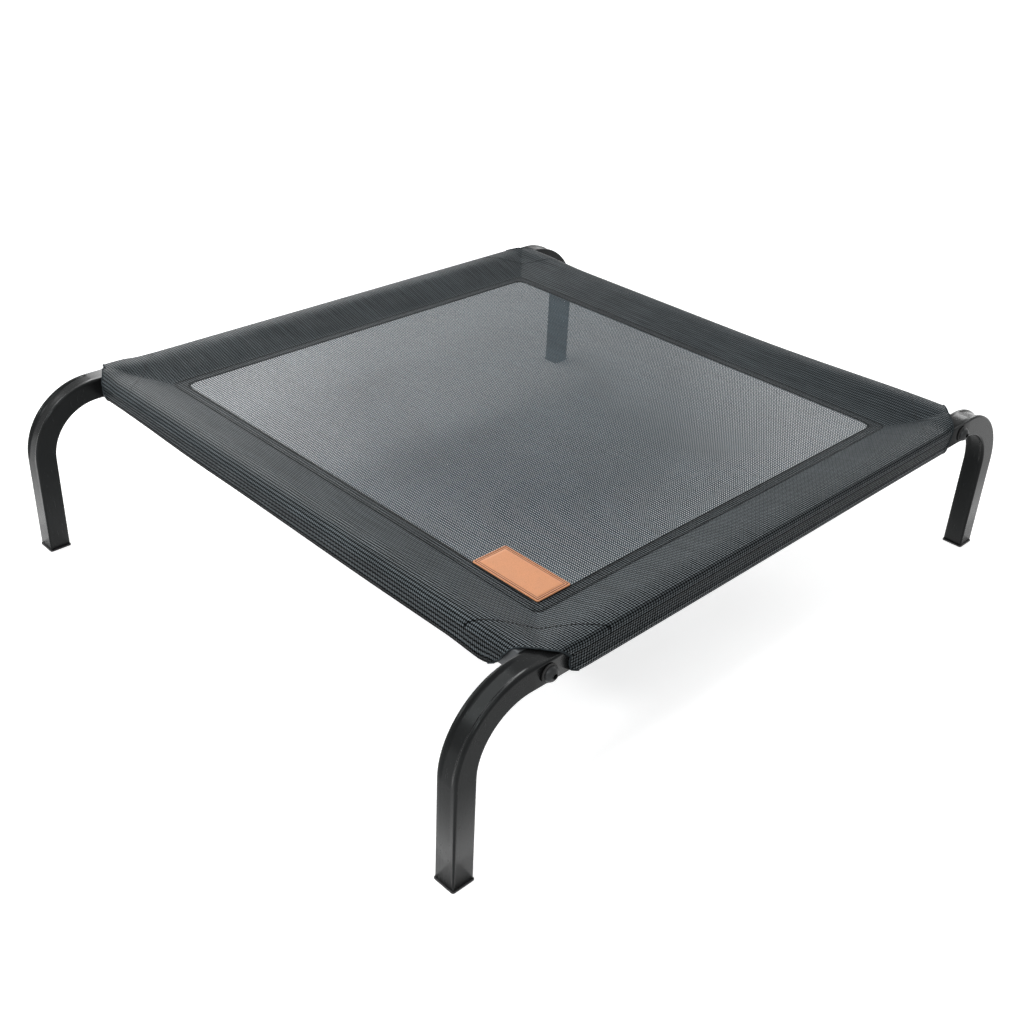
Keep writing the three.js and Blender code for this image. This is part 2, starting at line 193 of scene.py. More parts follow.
class Recipe:
    """Adds nodes to a tree and joins them."""

    def __init__(self, tree):
        self.tree = tree
        tree.nodes.clear()

    def feed(self, socket, value):
        if isinstance(value, bpy.types.NodeSocket):
            self.tree.links.new(value, socket)
        else:
            socket.default_value = value

    def add(self, kind, sockets=None, **settings):
        node = self.tree.nodes.new(kind)
        for name, value in settings.items():
            setattr(node, name, value)
        for name, value in (sockets or {}).items():
            self.feed(node.inputs[name], value)
        return node

    def maths(self, operation, *values):
        node = self.add("ShaderNodeMath", operation=operation)
        for socket, value in zip(node.inputs, values):
            self.feed(socket, value)
        return node.outputs[0]

    def plus(self, first, second):
        return self.maths("ADD", first, second)

    def minus(self, first, second):
        return self.maths("SUBTRACT", first, second)

    def times(self, first, second):
        return self.maths("MULTIPLY", first, second)

    def vector(self, operation, *values):
        node = self.add("ShaderNodeVectorMath", operation=operation)
        for socket, value in zip(node.inputs, values):
            self.feed(socket, value)
        return node.outputs

    def parts(self, vector):
        return self.add("ShaderNodeSeparateXYZ", {0: vector}).outputs

    def remap(self, value, low, high, to_low=0.0, to_high=1.0):
        sockets = {"Value": value, "From Min": low, "From Max": high, "To Min": to_low, "To Max": to_high}
        return self.add("ShaderNodeMapRange", sockets).outputs[0]

    def between(self, share, first, second):
        """The first value where the share is 0, and the second where it is 1."""
        return self.remap(share, 0, 1, first, second)

    def object_place(self):
        return self.add("ShaderNodeTexCoord").outputs["Object"]

    def noise(self, vector, scale, detail=2.0, roughness=0.5):
        sockets = {"Vector": vector, "Scale": scale, "Detail": detail, "Roughness": roughness}
        return self.add("ShaderNodeTexNoise", sockets).outputs["Fac"]

    def stretched(self, vector, scale):
        return self.add("ShaderNodeMapping", {"Vector": vector, "Scale": scale}).outputs[0]

    def mixed(self, share, first, second):
        node = self.add("ShaderNodeMix", data_type="RGBA")
        self.feed(node.inputs["Factor"], share)
        self.feed(node.inputs[6], first)
        self.feed(node.inputs[7], second)
        return node.outputs[2]

    def bump(self, height, distance, strength=1.0):
        sockets = {"Height": height, "Distance": distance, "Strength": strength}
        return self.add("ShaderNodeBump", sockets).outputs[0]

    def surface(self, shader):
        output = self.add("ShaderNodeOutputMaterial")
        self.tree.links.new(shader, output.inputs["Surface"])

    def principled(self, sockets):
        self.surface(self.add("ShaderNodeBsdfPrincipled", sockets).outputs[0])


def start_material(name):
    material = bpy.data.materials.new(name)
    material.use_nodes = True
    return material, Recipe(material.node_tree)


def rgba(shade, scale=1.0):
    return (shade[0] * scale, shade[1] * scale, shade[2] * scale, 1.0)


def powder_coat(settings):
    """Baked black powder: a fine orange peel, a soft satin gloss and slight scuffs."""
    material, nodes = start_material("powder_coat")
    place = nodes.object_place()
    peel = nodes.noise(place, 900, 2)
    cloud = nodes.noise(place, 22, 4, 0.6)
    scuff = nodes.remap(nodes.noise(nodes.stretched(place, (60, 60, 12)), 6, 6, 0.7), 0.6, 0.72)
    base = nodes.mixed(cloud, rgba(settings.powder_coat, 0.8), rgba(settings.powder_coat, 1.3))
    shade = nodes.mixed(nodes.times(scuff, 0.35), base, rgba(settings.powder_coat, 2.2))
    rough = settings.coat_roughness
    nodes.principled({
        "Base Color": shade,
        "Roughness": nodes.remap(nodes.plus(cloud, scuff), 0.3, 1.6, rough - 0.05, rough + 0.16),
        "Specular IOR Level": settings.coat_gloss,
        "Specular Tint": (0.93, 1.0, 1.0, 1.0),
        "Normal": nodes.bump(peel, 0.05 * MM, 0.5),
    })
    return material


def moulded(name, shade, roughness, grain):
    """Moulded plastic or rubber with a fine spark-eroded grain."""
    material, nodes = start_material(name)
    place = nodes.object_place()
    speck = nodes.noise(place, grain, 3, 0.6)
    cloud = nodes.noise(place, 60, 3)
    nodes.principled({
        "Base Color": nodes.mixed(cloud, rgba(shade, 0.75), rgba(shade, 1.35)),
        "Roughness": nodes.remap(speck, 0.3, 0.7, roughness - 0.08, roughness + 0.1),
        "Normal": nodes.bump(speck, 0.08 * MM, 0.6),
    })
    return material


def bolt_steel(settings):
    """Blackened steel, a little brighter where it has been handled."""
    material, nodes = start_material("bolt_steel")
    place = nodes.object_place()
    cloud = nodes.noise(place, 240, 4, 0.6)
    nodes.principled({
        "Base Color": nodes.mixed(cloud, rgba(settings.bolt_steel, 0.7), rgba(settings.bolt_steel, 1.5)),
        "Metallic": 0.6,
        "Roughness": nodes.remap(cloud, 0.3, 0.7, 0.34, 0.5),
        "Normal": nodes.bump(nodes.noise(place, 1500, 2), 0.03 * MM, 0.5),
    })
    return material


# Heights in the weave: a yarn's round crown, its rise over and under, its top, the gaps between yarns, and
# how far a strand is sunk where it doesn't cover the cloth
YARN_CROWN, YARN_WAVE = 0.6, 0.55
YARN_TOP, GAP_HEIGHT, SUNK = YARN_CROWN + YARN_WAVE, -1.0, 9.0

# X and Y along the cloth, added, between which the weave goes from crisp at the front left to soft
CRISP_UNTIL, SOFT_FROM = -0.6, 0.3

# How the painted shade and highlight rise with height, dark in the gaps and light on the yarns' tops, first
# where the weave is soft and then where it is crisp: the height where it starts, the tone there, and the tone
# at a yarn's top
WINDOW_PAINTED_SHADE = (0.4, 0.45, 0.78), (0.4, 0.38, 0.96)
BORDER_PAINTED_SHADE = (0.3, 0.22, 0.74), (0.5, 0.0, 1.8)

# Tones along the seams and on the hem, given for soft and crisp where they differ
WINDOW_SEAM_TONES, HEM_SEAM_TONES = (0.5, 0.2), (0.85, 0.3)
CORNER_SEAM_TONE, FRONT_LEFT_SEAM_TONE, HEM_TONE = 0.85, 0.15, 0.75

# Shares of the yarns' gloss in the gaps and on their tops, and how clearly the holes show, for soft and crisp
GAP_GLOSS, TOP_GLOSS = (0.2, 0.0), (0.5, 1.0)
CLEAR_HOLES = 0.55, 0.9


def plain_weave(nodes, cloth, settings):
    """Height of the yarns, which go over and under in turn, and 1 where a yarn covers the cloth."""
    waver = nodes.times(nodes.minus(nodes.noise(cloth, 40, 3), 0.5), 0.25)
    place = nodes.parts(cloth)

    def yarn(position, pitch):
        """Distance from the middle of the nearest yarn, as a share of the pitch, and the yarn's number."""
        position = nodes.plus(nodes.maths("DIVIDE", position, pitch), waver)
        return nodes.minus(nodes.maths("FRACT", position), 0.5), nodes.maths("FLOOR", position)

    long_side, long_number = yarn(place[0], settings.long_pitch)
    cross_side, cross_number = yarn(place[1], settings.cross_pitch)
    turn = nodes.maths("FLOORED_MODULO", nodes.plus(long_number, cross_number), 2.0)
    over = nodes.minus(nodes.times(turn, 2.0), 1.0)

    def strand(side, along, sign):
        """1 where a strand covers the cloth, and its height, which is far below where it doesn't."""
        across = nodes.maths("DIVIDE", side, settings.yarn_share / 2)
        inside = nodes.minus(1.0, nodes.times(across, across))
        covers = nodes.maths("GREATER_THAN", inside, 0.0)
        crown = nodes.maths("SQRT", nodes.maths("MAXIMUM", inside, 0.0))
        wave = nodes.maths("COSINE", nodes.times(along, math.pi))
        lift = nodes.times(nodes.times(wave, sign), YARN_WAVE)
        height = nodes.plus(nodes.times(crown, YARN_CROWN), lift)
        return covers, nodes.minus(height, nodes.times(nodes.minus(1.0, covers), SUNK))

    long_covers, long_height = strand(long_side, cross_side, over)
    cross_covers, cross_height = strand(cross_side, long_side, nodes.times(over, -1.0))
    height = nodes.maths("MAXIMUM", nodes.maths("MAXIMUM", long_height, cross_height), GAP_HEIGHT)
    return height, nodes.maths("MAXIMUM", long_covers, cross_covers)


def pressed_lines(nodes, cloth, crisp, settings):
    """Tone of the cloth by its seams, and 1 outside the window, where the holes are closed.

    It is dark where the hem is sewn down: along the window, along the hem's far side, and across each corner.
    """
    window = (CROSS_X + HALF - settings.border, SIDE_Y + HALF - settings.border, 0)
    past = nodes.parts(nodes.vector("SUBTRACT", nodes.vector("ABSOLUTE", cloth)[0], window)[0])
    outside = nodes.maths("SMOOTH_MAX", past[0], past[1], 20 * MM)
    place = nodes.object_place()
    mirrored = nodes.parts(nodes.vector("ABSOLUTE", place)[0])
    corner = nodes.plus(mirrored[0], mirrored[1])
    place = nodes.parts(place)
    # The seam across the front left corner is the darkest, and shows on top alone
    on_top = nodes.minus(1, nodes.maths("LESS_THAN", place[2], RAIL_Z + 6 * MM))
    front_left = nodes.times(nodes.times(nodes.plus(place[0], place[1]), -1.0), on_top)
    seams = (
        (outside, 0, nodes.between(crisp, *WINDOW_SEAM_TONES)),
        (outside, settings.hem_width, nodes.between(crisp, *HEM_SEAM_TONES)),
        (corner, settings.corner_seam, CORNER_SEAM_TONE),
        (front_left, settings.corner_seam, FRONT_LEFT_SEAM_TONE),
    )
    tone = 1.0
    for distance, line, dark in seams:
        gap = nodes.maths("ABSOLUTE", nodes.minus(distance, line))
        tone = nodes.times(tone, nodes.remap(gap, 0.6 * MM, 1.6 * MM, dark, 1.0))
    inner = nodes.remap(outside, 0.0, 0.5 * MM)
    outer = nodes.remap(outside, settings.hem_width, settings.hem_width + 1 * MM, 1.0, 0.0)
    tone = nodes.times(tone, nodes.between(nodes.times(inner, outer), 1.0, HEM_TONE))
    return tone, nodes.maths("GREATER_THAN", outside, -1.6 * MM)


def mesh_cloth(settings):
    """Coated yarns in a plain weave, with open holes between them in the window."""
    material, nodes = start_material("mesh_cloth")
    cloth = nodes.add("ShaderNodeUVMap", uv_map="cloth").outputs[0]
    height, covered = plain_weave(nodes, cloth, settings)
    # The weave and the seams show most at the front left corner and soften away from it
    place = nodes.parts(cloth)
    crisp = nodes.remap(nodes.plus(place[0], place[1]), CRISP_UNTIL, SOFT_FROM, 1.0, 0.0)
    lines, sealed = pressed_lines(nodes, cloth, crisp, settings)
    # The painted shade kept on each face of the cover darkens the cloth and its gloss
    lines = nodes.times(lines, nodes.add("ShaderNodeAttribute", attribute_name="shade").outputs["Fac"])

    def painted_relief(tones):
        """Painted shade in the gaps of the weave and painted highlight on its yarns' tops, by height."""
        far, near = (nodes.remap(height, low, YARN_TOP, dark, light) for low, dark, light in tones)
        return nodes.between(crisp, far, near)

    streak = nodes.noise(nodes.stretched(cloth, (1.0, 0.05, 1.0)), 320, 2, 0.6)
    patch = nodes.noise(cloth, 9, 3)
    # On the border, where the holes are closed, the gaps are painted dark: a painted shade for the layer
    # beneath
    tone = nodes.between(sealed, painted_relief(WINDOW_PAINTED_SHADE), painted_relief(BORDER_PAINTED_SHADE))
    tone = nodes.times(tone, nodes.remap(streak, 0.3, 0.7, 0.75, 1.3))
    tone = nodes.times(tone, nodes.remap(patch, 0.3, 0.7, 0.88, 1.12))
    tone = nodes.times(tone, lines)
    # The window's yarns take the backlit copy of the colour, a painted tint of the light through them
    yarn_shade = nodes.mixed(sealed, rgba(settings.backlit_window_yarn), rgba(settings.yarn))
    shade = nodes.add("ShaderNodeVectorMath", {0: yarn_shade, "Scale": tone}, operation="SCALE")
    gloss = settings.yarn_gloss
    least, most = (nodes.between(crisp, gloss * soft, gloss * firm) for soft, firm in (GAP_GLOSS, TOP_GLOSS))
    # Where the weave is soft, yarns and holes blend into an even veil that lets as much through
    veil = 1 - (1 - settings.yarn_share) ** 2
    closed = nodes.between(nodes.between(crisp, *CLEAR_HOLES), veil, covered)
    nodes.principled({
        "Base Color": shade.outputs[0],
        "Roughness": nodes.remap(height, -0.4, 1.0, 0.7, 0.36),
        "Specular IOR Level": nodes.times(nodes.remap(height, 0.25, YARN_TOP, least, most), lines),
        "Specular Tint": (0.9, 0.98, 1.0, 1.0),
        "Alpha": nodes.maths("MAXIMUM", closed, sealed),
        "Normal": nodes.bump(height, nodes.between(crisp, 0.2 * MM, 0.5 * MM)),
    })
    return material


def thread(name, shade, sheen=0.2):
    """Twisted polyester thread."""
    material, nodes = start_material(name)
    place = nodes.object_place()
    twist = nodes.noise(place, 2200, 2, 0.6)
    nodes.principled({
        "Base Color": nodes.mixed(twist, rgba(shade, 0.6), rgba(shade, 1.6)),
        "Roughness": 0.6,
        "Sheen Weight": sheen,
        "Specular IOR Level": sheen,
        "Normal": nodes.bump(twist, 0.1 * MM, 0.7),
    })
    return material


def leather(settings):
    """Grained tan leather, darker in its pores and in the pressed border."""
    material, nodes = start_material("leather")
    place = nodes.object_place()
    pores = nodes.add("ShaderNodeTexVoronoi", {"Vector": place, "Scale": 900.0}, feature="DISTANCE_TO_EDGE")
    pore = nodes.remap(pores.outputs["Distance"], 0.0, 0.18)
    cloud = nodes.noise(place, 45, 4, 0.6)
    fine = nodes.noise(place, 700, 3, 0.6)
    tan = nodes.mixed(cloud, rgba(settings.leather, 0.82), rgba(settings.leather, 1.12))
    in_pore = nodes.times(nodes.minus(1.0, pore), 0.3)
    grained = nodes.mixed(in_pore, tan, rgba(settings.leather, 0.5))
    pressed = nodes.add("ShaderNodeAttribute", attribute_name="pressed").outputs["Fac"]
    shade = nodes.mixed(pressed, grained, rgba(settings.border))
    height = nodes.plus(nodes.times(pore, 0.6), nodes.times(fine, 0.6))
    nodes.principled({
        "Base Color": shade,
        "Roughness": nodes.remap(cloud, 0.3, 0.7, 0.5, 0.64),
        "Specular IOR Level": 0.4,
        "Normal": nodes.bump(height, 0.12 * MM, 0.6),
    })
    return material


# Mesh helpers


def smooth_step(low, high, value):
    t = min(max((value - low) / (high - low), 0), 1)
    return t * t * (3 - 2 * t)


def seat(name, mesh, material, nodes=()):
    """Puts a finished mesh in the scene as a piece of the bed that stands for the given CAD nodes."""
    piece = bpy.data.objects.new(name, mesh)
    bpy.context.scene.collection.objects.link(piece)
    if material:
        mesh.materials.clear()
        mesh.materials.append(material)
    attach(piece, BODY)
    if nodes:
        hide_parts(*nodes)
    return piece


def to_mesh(bm, name, crease=math.radians(32), outward=True):
    """Finishes a bmesh: normals outwards, smooth faces, and sharp edges past the crease angle."""
    if outward:
        bmesh.ops.recalc_face_normals(bm, faces=bm.faces)
    for face in bm.faces:
        face.smooth = True
    for edge in bm.edges:
        edge.smooth = len(edge.link_faces) != 2 or edge.calc_face_angle(0) < crease
    mesh = bpy.data.meshes.new(name)
    bm.to_mesh(mesh)
    bm.free()
    return mesh


def skin(bm, rings, closed_ends=False, closed_loop=False):
    """Joins rings of points with quads. The ends are capped, or the last ring joins the first."""
    rows = [[bm.verts.new(point) for point in ring] for ring in rings]
    pairs = list(zip(rows, rows[1:]))
    if closed_loop:
        pairs.append((rows[-1], rows[0]))
    for near, far in pairs:
        for i in range(len(near)):
            j = (i + 1) % len(near)
            bm.faces.new((near[i], near[j], far[j], far[i]))
    if closed_ends:
        bm.faces.new(list(reversed(rows[0])))
        bm.faces.new(rows[-1])
    return rows


def rounded_square(half, radius, corner_steps=6, wall_steps=1):
    """Points round a square with round corners, anticlockwise, with walls split into steps."""
    flat = half - radius
    points = []
    for corner in range(4):
        turn = Matrix.Rotation(corner * math.pi / 2, 2)
        for step in range(corner_steps + 1):
            bend = step / corner_steps * math.pi / 2
            points.append(turn @ Vector((flat + radius * math.cos(bend), flat + radius * math.sin(bend))))
        for step in range(1, wall_steps):
            points.append(turn @ Vector((flat - 2 * flat * step / wall_steps, half)))
    return points


def tube_rings(stations, settings, place, wall_steps=1):
    """Rings of a square tube: along its outside, then back along its bore.

    A station is (distance along, how far the wall is drawn in), and place puts a section's point in the bed.
    """
    radius = settings.tube_corner
    bore_radius = max(radius - settings.tube_wall, settings.tube_wall / 2)
    rings = []
    for along, drawn in stations:
        outline = rounded_square(HALF - drawn, radius, 6, wall_steps)
        rings.append([place(point, along) for point in outline])
    for along, drawn in reversed(stations):
        inset = settings.tube_wall + max(drawn, 0)
        outline = rounded_square(HALF - inset, bore_radius, 6, wall_steps)
        rings.append([place(point, along) for point in outline])
    return rings


def lathe(bm, profile, shape, segments=48):
    """Turns (radius, height) points about +Z. shape(angle, index) scales a ring's radius."""
    rings = []
    for index, (radius, height) in enumerate(profile):
        ring = []
        for i in range(segments):
            spin = 2 * math.pi * i / segments
            reach = radius * shape(spin, index)
            ring.append(Vector((reach * math.cos(spin), reach * math.sin(spin), height)))
        rings.append(ring)
    skin(bm, rings, closed_ends=True)


# Legs


def leg_mesh(settings, end, side):
    """Up from the foot, round the pressed bend and in along the arm."""
    bend_radius = settings.bend_radius
    upright = RAIL_Z - bend_radius - LEG_FOOT_Z
    bend = bend_radius * math.pi / 2
    arm = FOOT_X - bend_radius - ARM_END_X
    reach = HALF - settings.tube_corner
    rim = 0.3 * MM
    steps = 44

    def pressed(across, wall, turn):
        if not 0 < turn < 1 or abs(across) >= reach:
            return 0
        depth = settings.outer_dish if wall > 0 else settings.inner_dish
        along_bend = math.sin(math.pi * turn) ** 0.7
        return depth * along_bend * smooth_step(0.9, 0.56, abs(across) / reach)

    def place(point, along):
        across, wall = point
        turn = min(max((along - upright) / bend, 0), 1)
        outward = wall - math.copysign(pressed(across, wall, turn), wall)
        radius = bend_radius + outward
        x = FOOT_X - bend_radius + radius * math.cos(turn * math.pi / 2) - max(along - upright - bend, 0)
        z = RAIL_Z - bend_radius + radius * math.sin(turn * math.pi / 2) - max(upright - along, 0)
        return Vector((end * x, side * SIDE_Y - across, z))

    total = upright + bend + arm
    stations = [(0, rim), (rim, 0)]
    stations += [(upright + bend * step / steps, 0) for step in range(steps + 1)]
    stations += [(total - rim, 0), (total, rim)]
    bm = bmesh.new()
    skin(bm, tube_rings(stations, settings, place, wall_steps=36), closed_loop=True)
    return to_mesh(bm, "leg", math.radians(50))


class DOGBED_OT_legs(bpy.types.Operator):
    """Press-bent square-tube legs, one at each corner"""

    bl_idname = "dogbed.legs"
    bl_label = "Legs"

    def execute(self, context):
        settings = context.scene.bed_frame
        coat = powder_coat(settings)
        for corner, end, side in CORNERS:
            seat(f"bent_leg_{corner}", leg_mesh(settings, end, side), coat, [f"leg_{corner}"])
        return {"FINISHED"}


# Foot caps


def foot_cap_mesh(corner):
    """A flange under the tube's end, and a ribbed plug inside the tube."""
    low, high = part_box(f"foot_cap_{corner}")
    middle = (low + high) / 2
    flange, thick = (high.x - low.x) / 2, 2.2 * MM
    plug, rib = HALF - 2.3 * MM, 1.2 * MM
    rows = [(flange - 1.6 * MM, 0), (flange - 0.5 * MM, 0), (flange - 0.15 * MM, 0.15 * MM)]
    rows += [(flange, 0.5 * MM), (flange, thick - 0.5 * MM), (flange - 0.15 * MM, thick - 0.15 * MM)]
    rows += [(flange - 0.5 * MM, thick), (plug, thick)]
    for number in (1, 2):
        height = thick + 16 * MM * number / 3
        rows += [(plug, height), (plug + 0.8 * MM, height)]
        rows += [(plug + 0.8 * MM, height + rib), (plug, height + rib)]
    rows += [(plug, high.z - 0.5 * MM), (plug - 0.5 * MM, high.z)]
    rings = []
    for half, height in rows:
        outline = rounded_square(half, 2.4 * MM)
        rings.append([Vector((middle.x + point.x, middle.y + point.y, height)) for point in outline])
    bm = bmesh.new()
    skin(bm, rings, closed_ends=True)
    return to_mesh(bm, "foot_cap")


class DOGBED_OT_foot_caps(bpy.types.Operator):
    """Plastic caps under the legs"""

    bl_idname = "dogbed.foot_caps"
    bl_label = "Foot caps"

    def execute(self, context):
        plastic = moulded("black_plastic", context.scene.bed_frame.plastic, 0.5, 1400)
        for corner, _, _ in CORNERS:
            seat(f"cap_{corner}", foot_cap_mesh(corner), plastic, [f"foot_cap_{corner}"])
        return {"FINISHED"}


# Rails


def side_rail_mesh(settings, side):
    """Along X, with both ends drawn down to spigots that slide into the arms."""
    drawn = settings.tube_wall + 0.35 * MM
    shoulder = ARM_END_X - 0.3 * MM
    ends = [(SPIGOT_END, drawn + 0.3 * MM), (SPIGOT_END - 0.3 * MM, drawn), (shoulder, drawn)]
    ends += [(shoulder - 0.4 * MM, drawn * 0.85), (shoulder - 1.1 * MM, drawn * 0.15)]
    ends.append((shoulder - 1.5 * MM, 0))
    stations = [(-along, inset) for along, inset in ends] + list(reversed(ends))

    def place(point, along):
        return Vector((along, side * SIDE_Y + point[0], RAIL_Z + point[1]))

    bm = bmesh.new()
    skin(bm, tube_rings(stations, settings, place), closed_loop=True)
    return to_mesh(bm, "side_rail", math.radians(40))


def cross_rail_mesh(settings, end):
    """Along Y, between the inner faces of the arms."""
    rim = 0.3 * MM
    stations = [(-CROSS_RAIL_END, rim), (rim - CROSS_RAIL_END, 0)]
    stations += [(CROSS_RAIL_END - rim, 0), (CROSS_RAIL_END, rim)]

    def place(point, along):
        return Vector((end * CROSS_X + point[0], along, RAIL_Z + point[1]))

    bm = bmesh.new()
    skin(bm, tube_rings(stations, settings, place), closed_loop=True)
    return to_mesh(bm, "cross_rail")


class DOGBED_OT_rails(bpy.types.Operator):
    """Side rails, cross rails and the inserts that the bolts screw into"""

    bl_idname = "dogbed.rails"
    bl_label = "Rails"

    def execute(self, context):
        settings = context.scene.bed_frame
        coat = bpy.data.materials["powder_coat"]
        for name, side in (("front", -1), ("rear", 1)):
            rail = side_rail_mesh(settings, side)
            seat(f"side_tube_{name}", rail, coat, [f"side_rail_{name}"])
        for name, end in (("left", -1), ("right", 1)):
            rail = cross_rail_mesh(settings, end)
            seat(f"cross_tube_{name}", rail, coat, [f"cross_rail_{name}"])
        nylon = moulded("grey_nylon", settings.nylon, 0.6, 1100)
        for corner, _, _ in CORNERS:
            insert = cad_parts[f"rail_insert_{corner}"]
            insert.data.materials.clear()
            insert.data.materials.append(nylon)
        return {"FINISHED"}


# Fasteners


def turned(bm, x, side, face):
    """Lays a lathed shape, made along +Z, on a side's outer face at a cross rail's end."""
    bm.transform(Matrix.Translation((x, side * face, RAIL_Z)) @ Matrix.Rotation(-side * math.pi / 2, 4, "X"))


def bolt_mesh(corner, end, side):
    low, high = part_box(f"bolt_{corner}")
    head, rim, key, rise = 8 * MM, 1.2 * MM, 2.9 * MM, 6 * MM
    face = (high.y if side > 0 else -low.y) - rise
    profile = [(2.2 * MM, -50 * MM), (3 * MM, -49.2 * MM), (3 * MM, -0.1 * MM), (head - 0.5 * MM, -0.1 * MM)]
    profile += [(head, 0.2 * MM), (head, rim)]
    for step in range(1, 13):
        t = step / 12 * 0.8
        radius = (1 - t) ** 2 * head + 2 * t * (1 - t) * 6.2 * MM
        height = (1 - t) ** 2 * rim + 2 * t * (1 - t) * rise + t * t * rise
        profile.append((radius, height))
    profile[-1] = (key + 0.45 * MM, profile[-1][1])
    dome = len(profile)
    top = profile[-1][1]
    profile += [(key, top - 0.25 * MM), (key, top - 3 * MM), (0.6 * MM, top - 3.6 * MM)]

    def hexagon(spin, index):
        if not dome <= index < dome + 2:
            return 1
        return math.cos(math.pi / 6) / math.cos((spin % (math.pi / 3)) - math.pi / 6)

    bm = bmesh.new()
    lathe(bm, profile, hexagon)
    turned(bm, end * CROSS_X, side, face)
    return to_mesh(bm, "bolt", math.radians(35))


def washer_mesh(corner, end, side):
    low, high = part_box(f"washer_{corner}")
    face = low.y if side > 0 else -high.y
    outer, inner, thick, edge = 9.5 * MM, 3.35 * MM, 2 * MM, 0.35 * MM
    profile = [(inner, edge), (inner + edge, 0), (outer - edge, 0), (outer, edge), (outer, thick - edge)]
    profile += [(outer - edge, thick), (inner + edge, thick), (inner, thick - edge)]
    bm = bmesh.new()
    spins = [2 * math.pi * i / 48 for i in range(48)]
    rings = [[Vector((r * math.cos(spin), r * math.sin(spin), h)) for spin in spins] for r, h in profile]
    skin(bm, rings, closed_loop=True)
    turned(bm, end * CROSS_X, side, face)
    return to_mesh(bm, "washer", math.radians(50))


class DOGBED_OT_fasteners(bpy.types.Operator):
    """Domed socket bolts on rubber washers"""

    bl_idname = "dogbed.fasteners"
    bl_label = "Bolts and washers"

    def execute(self, context):
        settings = context.scene.bed_frame
        steel = bolt_steel(settings)
        rubber = moulded("black_rubber", settings.rubber, 0.7, 1800)
        for corner, end, side in CORNERS:
            bolt = bolt_mesh(corner, end, side)
            seat(f"socket_bolt_{corner}", bolt, steel, [f"bolt_{corner}"])
            washer = washer_mesh(corner, end, side)
            seat(f"rubber_washer_{corner}", washer, rubber, [f"washer_{corner}"])
        return {"FINISHED"}


# Cover


TOP, UNDERSIDE, END_FACE, SIDE_FACE = 1, 2, 3, 4
CROWN_STEPS, DROP_STEPS = 8, 6

# Painted shade, as a tone, on each kind of face, then on a side sleeve: its underside, and how much painted
# shade its crown takes where it is level. A face is on a side sleeve where its normal leans this far along Y
FACE_PAINTED_SHADE = {TOP: 1.0, UNDERSIDE: 0.2, END_FACE: 0.74, SIDE_FACE: 0.7}
SIDE_UNDERSIDE_PAINTED_SHADE, CROWN_PAINTED_SHADE = 0.9, 0.42
SIDE_SLEEVE_LEAN = 0.35

# At each corner: where the end sleeve and the side sleeve stop on top, how far the end sleeve's edge and the
# side sleeve's edge fall back down their outer faces, how steeply the underside falls back, and how steeply
# the side sleeve's edge falls back over its crown
CUTS = {
    "front_left": (342 * MM, 333 * MM, 12.5 * MM, 1.5 * MM, 2.4, 1.0),
    "front_right": (341 * MM, 322 * MM, 9 * MM, 5 * MM, 0.6, 0),
    "rear_left": (347 * MM, 343 * MM, 4 * MM, 8 * MM, 0.6, 0),
    "rear_right": (352 * MM, 327 * MM, 10 * MM, 10 * MM, 0.6, 0),
}


def curve_points(start, first, second, stop, steps):
    """Points along a cubic curve, after its start."""
    points = []
    for step in range(1, steps + 1):
        t = step / steps
        near, far = (1 - t) ** 2, t * t
        point = start * near * (1 - t) + first * 3 * t * near
        points.append(point + second * 3 * far * (1 - t) + stop * far * t)
    return points


def border_section(settings, squareness):
    """The top of a sleeve, from the window outwards: distances from the window's edge and heights over it."""
    rail = settings.border - HALF
    hem = Vector((settings.hem_width, settings.hem_gap))
    knee = Vector((rail - HALF - 6 * MM, HALF - 1 * MM))
    crown = Vector((rail + 2 * MM, HALF + settings.fit))
    brim = Vector((rail + HALF + settings.fit - 0.4 * MM, HALF - 7 * MM))
    climb = (knee - hem).normalized()
    points = [Vector((0, hem.y)), hem / 2 + Vector((0, hem.y / 2)), hem]
    points += [hem.lerp(knee, step / 7) for step in range(1, 8)]
    points += curve_points(knee, knee + climb * 8 * MM, crown - Vector((8 * MM, 0)), crown, 7)
    for step in range(1, CROWN_STEPS + 1):
        height = 1 - (step / CROWN_STEPS) ** 2
        reach = (1 - height ** squareness) ** (1 / squareness)
        points.append(Vector((crown.x + (brim.x - crown.x) * reach, brim.y + (crown.y - brim.y) * height)))
    return [(point.x, point.y) for point in points]


class CoverGrid:
    """Lines of the cover across one direction: places, lengths along the cloth, and border step (or -1)."""

    def __init__(self, section, window, steps):
        self.window = window
        lengths = [0]
        for (d0, z0), (d1, z1) in zip(section, section[1:]):
            lengths.append(lengths[-1] + math.hypot(d1 - d0, z1 - z0))
        inside = [(window * (2 * i / steps - 1), window * (2 * i / steps - 1), -1) for i in range(1, steps)]
        outside = [(window + d, window + s, k) for k, ((d, _), s) in enumerate(zip(section, lengths))]
        self.lines = [(-d, -s, k) for d, s, k in reversed(outside)] + inside + outside
        self.edge_length = window + lengths[-1]


